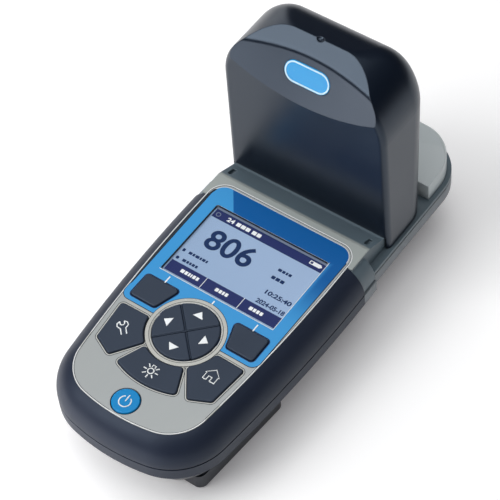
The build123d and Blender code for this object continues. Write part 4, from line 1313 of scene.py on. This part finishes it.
@dataclass
class Keypad:
    """The keys' finishes and their printed signs."""

    pieces: Pieces
    stroke: float = 0.62
    print_smooth: float = 60.0
    arrow_levels: Point = (-0.04, 0.03)
    arrow_round: float = 0.1
    arrow_corners: tuple[Point, ...] = ((-2.7, 8.7), (2.7, 8.7), (0.0, 12.2))
    house_place: Point = (23.9, -12.8)
    lamp_place: Point = (0.0, -25.4)
    wrench_place: Point = (-24.4, -13.9)
    pad: Point = field(default_factory=pad_middle)

    def build(self) -> None:
        """Dress the keys and print their signs."""
        self.pieces.dress("key_rubber", *SOFT_KEYS, *GREY_KEYS)
        self.pieces.dress("power_key", "power_key")
        for quarter, side in enumerate(SIDES):
            self.pieces.dress("key_rubber", f"arrow_key_{side}")
            self.arrow(side, quarter * 90)
        self.house()
        self.lamp()
        self.wrench()
        self.power()

    def print_sign(self, sign: str, key: str, body: str, lines: list[list[Point]], at: Point) -> None:
        """Print a stroked sign on a key.

        Args:
            sign: what it shows.
            key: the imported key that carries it.
            body: the key's body.
            lines: the sign's lines, in millimetres from its middle.
            at: the sign's middle in millimetres from the pad's middle.
        """
        right, up = at[0] + self.pad[0], at[1] + self.pad[1]
        placed = [[(x + right, y + up) for x, y in line] for line in lines]
        form = stroke_form(placed, self.stroke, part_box(key)[1].z)
        slot = Slot.POWER if key == "power_key" else Slot.KEY
        self.pieces.add(f"{sign}_sign", form, "mark_white", slot, body, self.print_smooth)

    def arrow(self, side: str, degrees: float) -> None:
        """A white triangle near the rim of one quarter of the pad, pointing outwards.

        Args:
            side: the quarter's side.
            degrees: how far the quarter is turned to the left from the upper one.
        """
        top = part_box(f"arrow_key_{side}")[1].z
        low, high = (top + level * MM for level in self.arrow_levels)
        form = turned(outline_form(self.arrow_corners, low, high, self.arrow_round), degrees)
        form = moved(form, *self.pad, 0.0)
        self.pieces.add(f"arrow_sign_{side}", form, "mark_white", Slot.KEY, f"arrow_{side}_button")

    def house(self) -> None:
        """A house in outline, with its door."""
        walls = [(-1.2, -3.0), (-3.0, -3.0), (-3.0, 0.4), (-3.6, 0.4), (0.0, 3.5), (3.6, 0.4), (3.0, 0.4),
                 (3.0, -3.0), (0.6, -3.0)]
        door = [(-1.2, -3.0), (-1.2, -0.8), (0.6, -0.8), (0.6, -3.0)]
        self.print_sign("house", "home_key", "home_button", [walls, door], self.house_place)

    def lamp(self) -> None:
        """A lamp in outline, with seven rays and its cap."""
        inner, outer = (arc_points((0.0, 0.0), radius, 135, 405, 6) for radius in (2.2, 3.9))
        bulb = arc_points((0.0, 0.0), 1.4, 90, 450, 28)
        cap = [(-0.8, 1.9), (-0.8, 3.1), (0.8, 3.1), (0.8, 1.9)]
        lines = [*map(list, zip(inner, outer)), bulb, cap]
        self.print_sign("lamp", "backlight_key", "backlight_button", lines, self.lamp_place)

    def wrench(self) -> None:
        """An open-ended wrench in outline, turned to point up and to the left."""
        jaw = [(-1.0, 3.6), (-1.0, 2.3), (-0.5, 1.6), (0.5, 1.6), (1.0, 2.3), (1.0, 3.6)]
        left = [(-1.0, 3.6), (-2.3, 2.7), (-2.6, 1.2), (-1.2, -0.3), (-1.2, -3.6)]
        right = [(-x, y) for x, y in left]
        tilt = Matrix.Rotation(math.radians(45), 2)
        lines = [[tuple(tilt @ Vector(point)) for point in line] for line in (jaw, left, right)]
        self.print_sign("wrench", "settings_key", "settings_button", lines, self.wrench_place)

    def power(self) -> None:
        """The usual sign for on and off: an open ring and a bar."""
        low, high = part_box("power_key")
        middle = (low + high) / 2 / MM
        ring = arc_points((0.0, -0.4), 2.75, 120, 420, 32)
        self.print_sign("power", "power_key", "power_button", [ring, [(0.0, -0.3), (0.0, 3.3)]],
                        (middle.x - self.pad[0], middle.y - self.pad[1]))


@dataclass
class Case:
    """Finishes of the shells, grips and seals, and of what is inside and underneath."""

    pieces: Pieces
    nodes_of: dict[str, tuple[str, ...]] = field(default_factory=lambda: {
        "case_plastic": ("upper_housing",),
        "tail_plastic": ("module_cover",),
        "hull_plastic": ("lower_housing", "battery_door"),
        "grip_rubber": ("grip_overmould", "lower_grip"),
        "seal_rubber": ("housing_gasket", "battery_door_seal", "feet", "usb_cap"),
        "silicone": ("keypad_mat",),
        "spring_steel": ("key_domes", "light_detector", "contact_plates", "contact_springs",
                         "battery_door_screws", "housing_screws", "usb_socket"),
        "circuit_board": ("main_board", "source_board", "detector_board", "module_board"),
        "black_plastic": ("cell_holder",),
        "diode_resin": ("light_source",),
        "cell_jacket": ("battery_cells",)})

    def build(self) -> None:
        """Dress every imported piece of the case."""
        for finish, nodes in self.nodes_of.items():
            self.pieces.dress(finish, *nodes)


@dataclass
class LightShield:
    """The hood and its badge with a pale rim."""

    pieces: Pieces
    rim_width: float = 0.8
    rim_rise: float = 0.06
    same_way: float = 0.999

    def build(self) -> None:
        """Dress the hood and the badge, and lay the rim on the badge."""
        self.pieces.dress("hood_plastic", "hood_shell")
        self.pieces.dress("badge_blue", "hood_badge")
        self.badge_rim()

    def badge_rim(self) -> None:
        """The raised pale rim on the badge's face."""
        form = packed_skin("hood_badge", lambda face: face.normal.y < 0)
        facing = max(form.faces, key=Face.calc_area).normal.copy()
        keep(form, [face for face in form.faces if face.normal.dot(facing) >= self.same_way])
        keep(form, inset(form, self.rim_width))
        rim = raised(form, self.rim_rise * MM, facing)
        self.pieces.add("badge_rim", rim, "badge_rim", Slot.BADGE, HOOD)


@dataclass(frozen=True)
class Softbox:
    """A square soft light: where it hangs and its side, in metres, and its power in watts."""

    name: str
    place: tuple[float, float, float]
    size: float
    power: float

    def hang(self, aim: Vector) -> None:
        """Hang the light so that it faces a point.

        Args:
            aim: the point, in metres.
        """
        lamp = bpy.data.lights.new(self.name, "AREA")
        lamp.shape, lamp.size, lamp.energy = "SQUARE", self.size, self.power
        hung = linked(self.name, lamp)
        hung.location = self.place
        hung.rotation_euler = (aim - Vector(self.place)).to_track_quat("-Z", "Y").to_euler()


@dataclass
class Studio:
    """Pale floor, soft lights and the camera at the photograph's angle."""

    azimuth: float = 40.739
    elevation: float = 52.201
    roll: float = -6.19
    eye: tuple[float, float, float] = (355.9, -415.4, 757.1)
    focal_pixels: float = 1977.882
    picture_pixels: float = 500.0
    sensor: float = 36.0
    clip: Point = (0.05, 20.0)
    floor_size: float = 9.0
    floor_shade: float = 0.93
    glow_middle: tuple[float, float, float] = (-0.20, -0.44, 0.0)
    glow_inner: float = 0.14
    glow_outer: float = 0.40
    glow_peak: float = 3.1
    glow_rest: float = 0.16
    glow_colour: Colour = (1.0, 0.97, 0.99)
    sky_colour: Colour = (0.92, 0.96, 1.0)
    sky_low: float = 0.15
    sky_high: float = 0.85
    horizon_glow: float = 0.04
    sky_glow: float = 0.16
    backdrop_glow: float = 0.95
    aim: tuple[float, float, float] = (0.0, 0.0, 0.04)
    lights: tuple[Softbox, ...] = (Softbox("key_light", (-0.75, -1.05, 1.35), 1.2, 24.0),
                                   Softbox("top_light", (0.0, 0.15, 2.2), 1.8, 24.0),
                                   Softbox("back_light", (-1.25, 0.75, 0.6), 1.0, 4.0))

    def build(self) -> None:
        """Set up the floor, the surroundings, the lights and the camera."""
        self.floor()
        self.surroundings()
        for light in self.lights:
            light.hang(Vector(self.aim))
        self.camera()

    def floor(self) -> None:
        """The pale table top, lit from within and most in front of the nose's left, clear from below."""
        form = bmesh.new()
        bmesh.ops.create_grid(form, x_segments=1, y_segments=1, size=self.floor_size / 2)
        paper, surface, shader = new_material("pale_paper")
        away = surface.feed(surface.add("ShaderNodeVectorMath", operation="DISTANCE"),
                            {0: surface.place(), 1: self.glow_middle}).outputs["Value"]
        glow = surface.spread(away, self.glow_inner, self.glow_outer, self.glow_peak, self.glow_rest,
                              soft=True)
        below = surface.add("ShaderNodeNewGeometry").outputs["Backfacing"]
        surface.feed(shader, {
            "Emission Strength": glow, "Emission Color": self.glow_colour,
            "Base Color": (self.floor_shade,) * 3, "Roughness": 0.9, "Specular IOR Level": 0.1,
            "Alpha": surface.math("SUBTRACT", 1.0, below)})
        mesh = mesh_of(form, "floor")
        mesh.materials.append(paper)
        linked("floor", mesh)

    def surroundings(self) -> None:
        """Dim light from all round, darkest at the horizon, behind a pale backdrop."""
        world = bpy.data.worlds.new("studio")
        world.use_nodes = True
        surface = Surface(world.node_tree)
        split = surface.feed(surface.add("ShaderNodeSeparateXYZ"),
                             {0: surface.add("ShaderNodeTexCoord").outputs["Generated"]})
        rise = surface.spread(split.outputs[2], self.sky_low, self.sky_high, self.horizon_glow,
                              self.sky_glow, soft=True)
        seen = surface.add("ShaderNodeLightPath").outputs["Is Camera Ray"]
        backdrop = surface.math("MULTIPLY", seen, self.backdrop_glow)
        surface.feed(world.node_tree.nodes["Background"],
                     {"Color": self.sky_colour, "Strength": surface.math("MAXIMUM", rise, backdrop)})
        bpy.context.scene.world = world
        bpy.context.scene.view_settings.view_transform = "Standard"

    def camera(self) -> None:
        """The camera, turned and placed as the photograph was taken."""
        turn, lift, roll = (math.radians(angle) for angle in (self.azimuth, self.elevation, self.roll))
        back = Vector((math.sin(turn) * math.cos(lift), -math.cos(turn) * math.cos(lift), math.sin(lift)))
        right = Vector((math.cos(turn), math.sin(turn), 0.0))
        up = back.cross(right)
        rolled_right = math.cos(roll) * right + math.sin(roll) * up
        rolled_up = -math.sin(roll) * right + math.cos(roll) * up
        lens = bpy.data.cameras.new("photo_camera")
        lens.sensor_fit, lens.sensor_width = "HORIZONTAL", self.sensor
        lens.lens = self.focal_pixels * self.sensor / self.picture_pixels
        lens.clip_start, lens.clip_end = self.clip
        camera = linked("photo_camera", lens)
        facing = Matrix((rolled_right, rolled_up, back)).transposed().to_4x4()
        camera.matrix_world = Matrix.Translation(Vector(self.eye) * MM) @ facing
        bpy.context.scene.camera = camera


def main() -> None:
    """Build the studio and dress the instrument."""
    logging.basicConfig(level=logging.INFO, format="%(name)s: %(message)s")
    Studio().build()
    pieces = Pieces(Finishes())
    for assembly in (Case, FacePrint, Display, Keypad, LightShield):
        assembly(pieces).build()


if __name__ == "__main__":
    main()
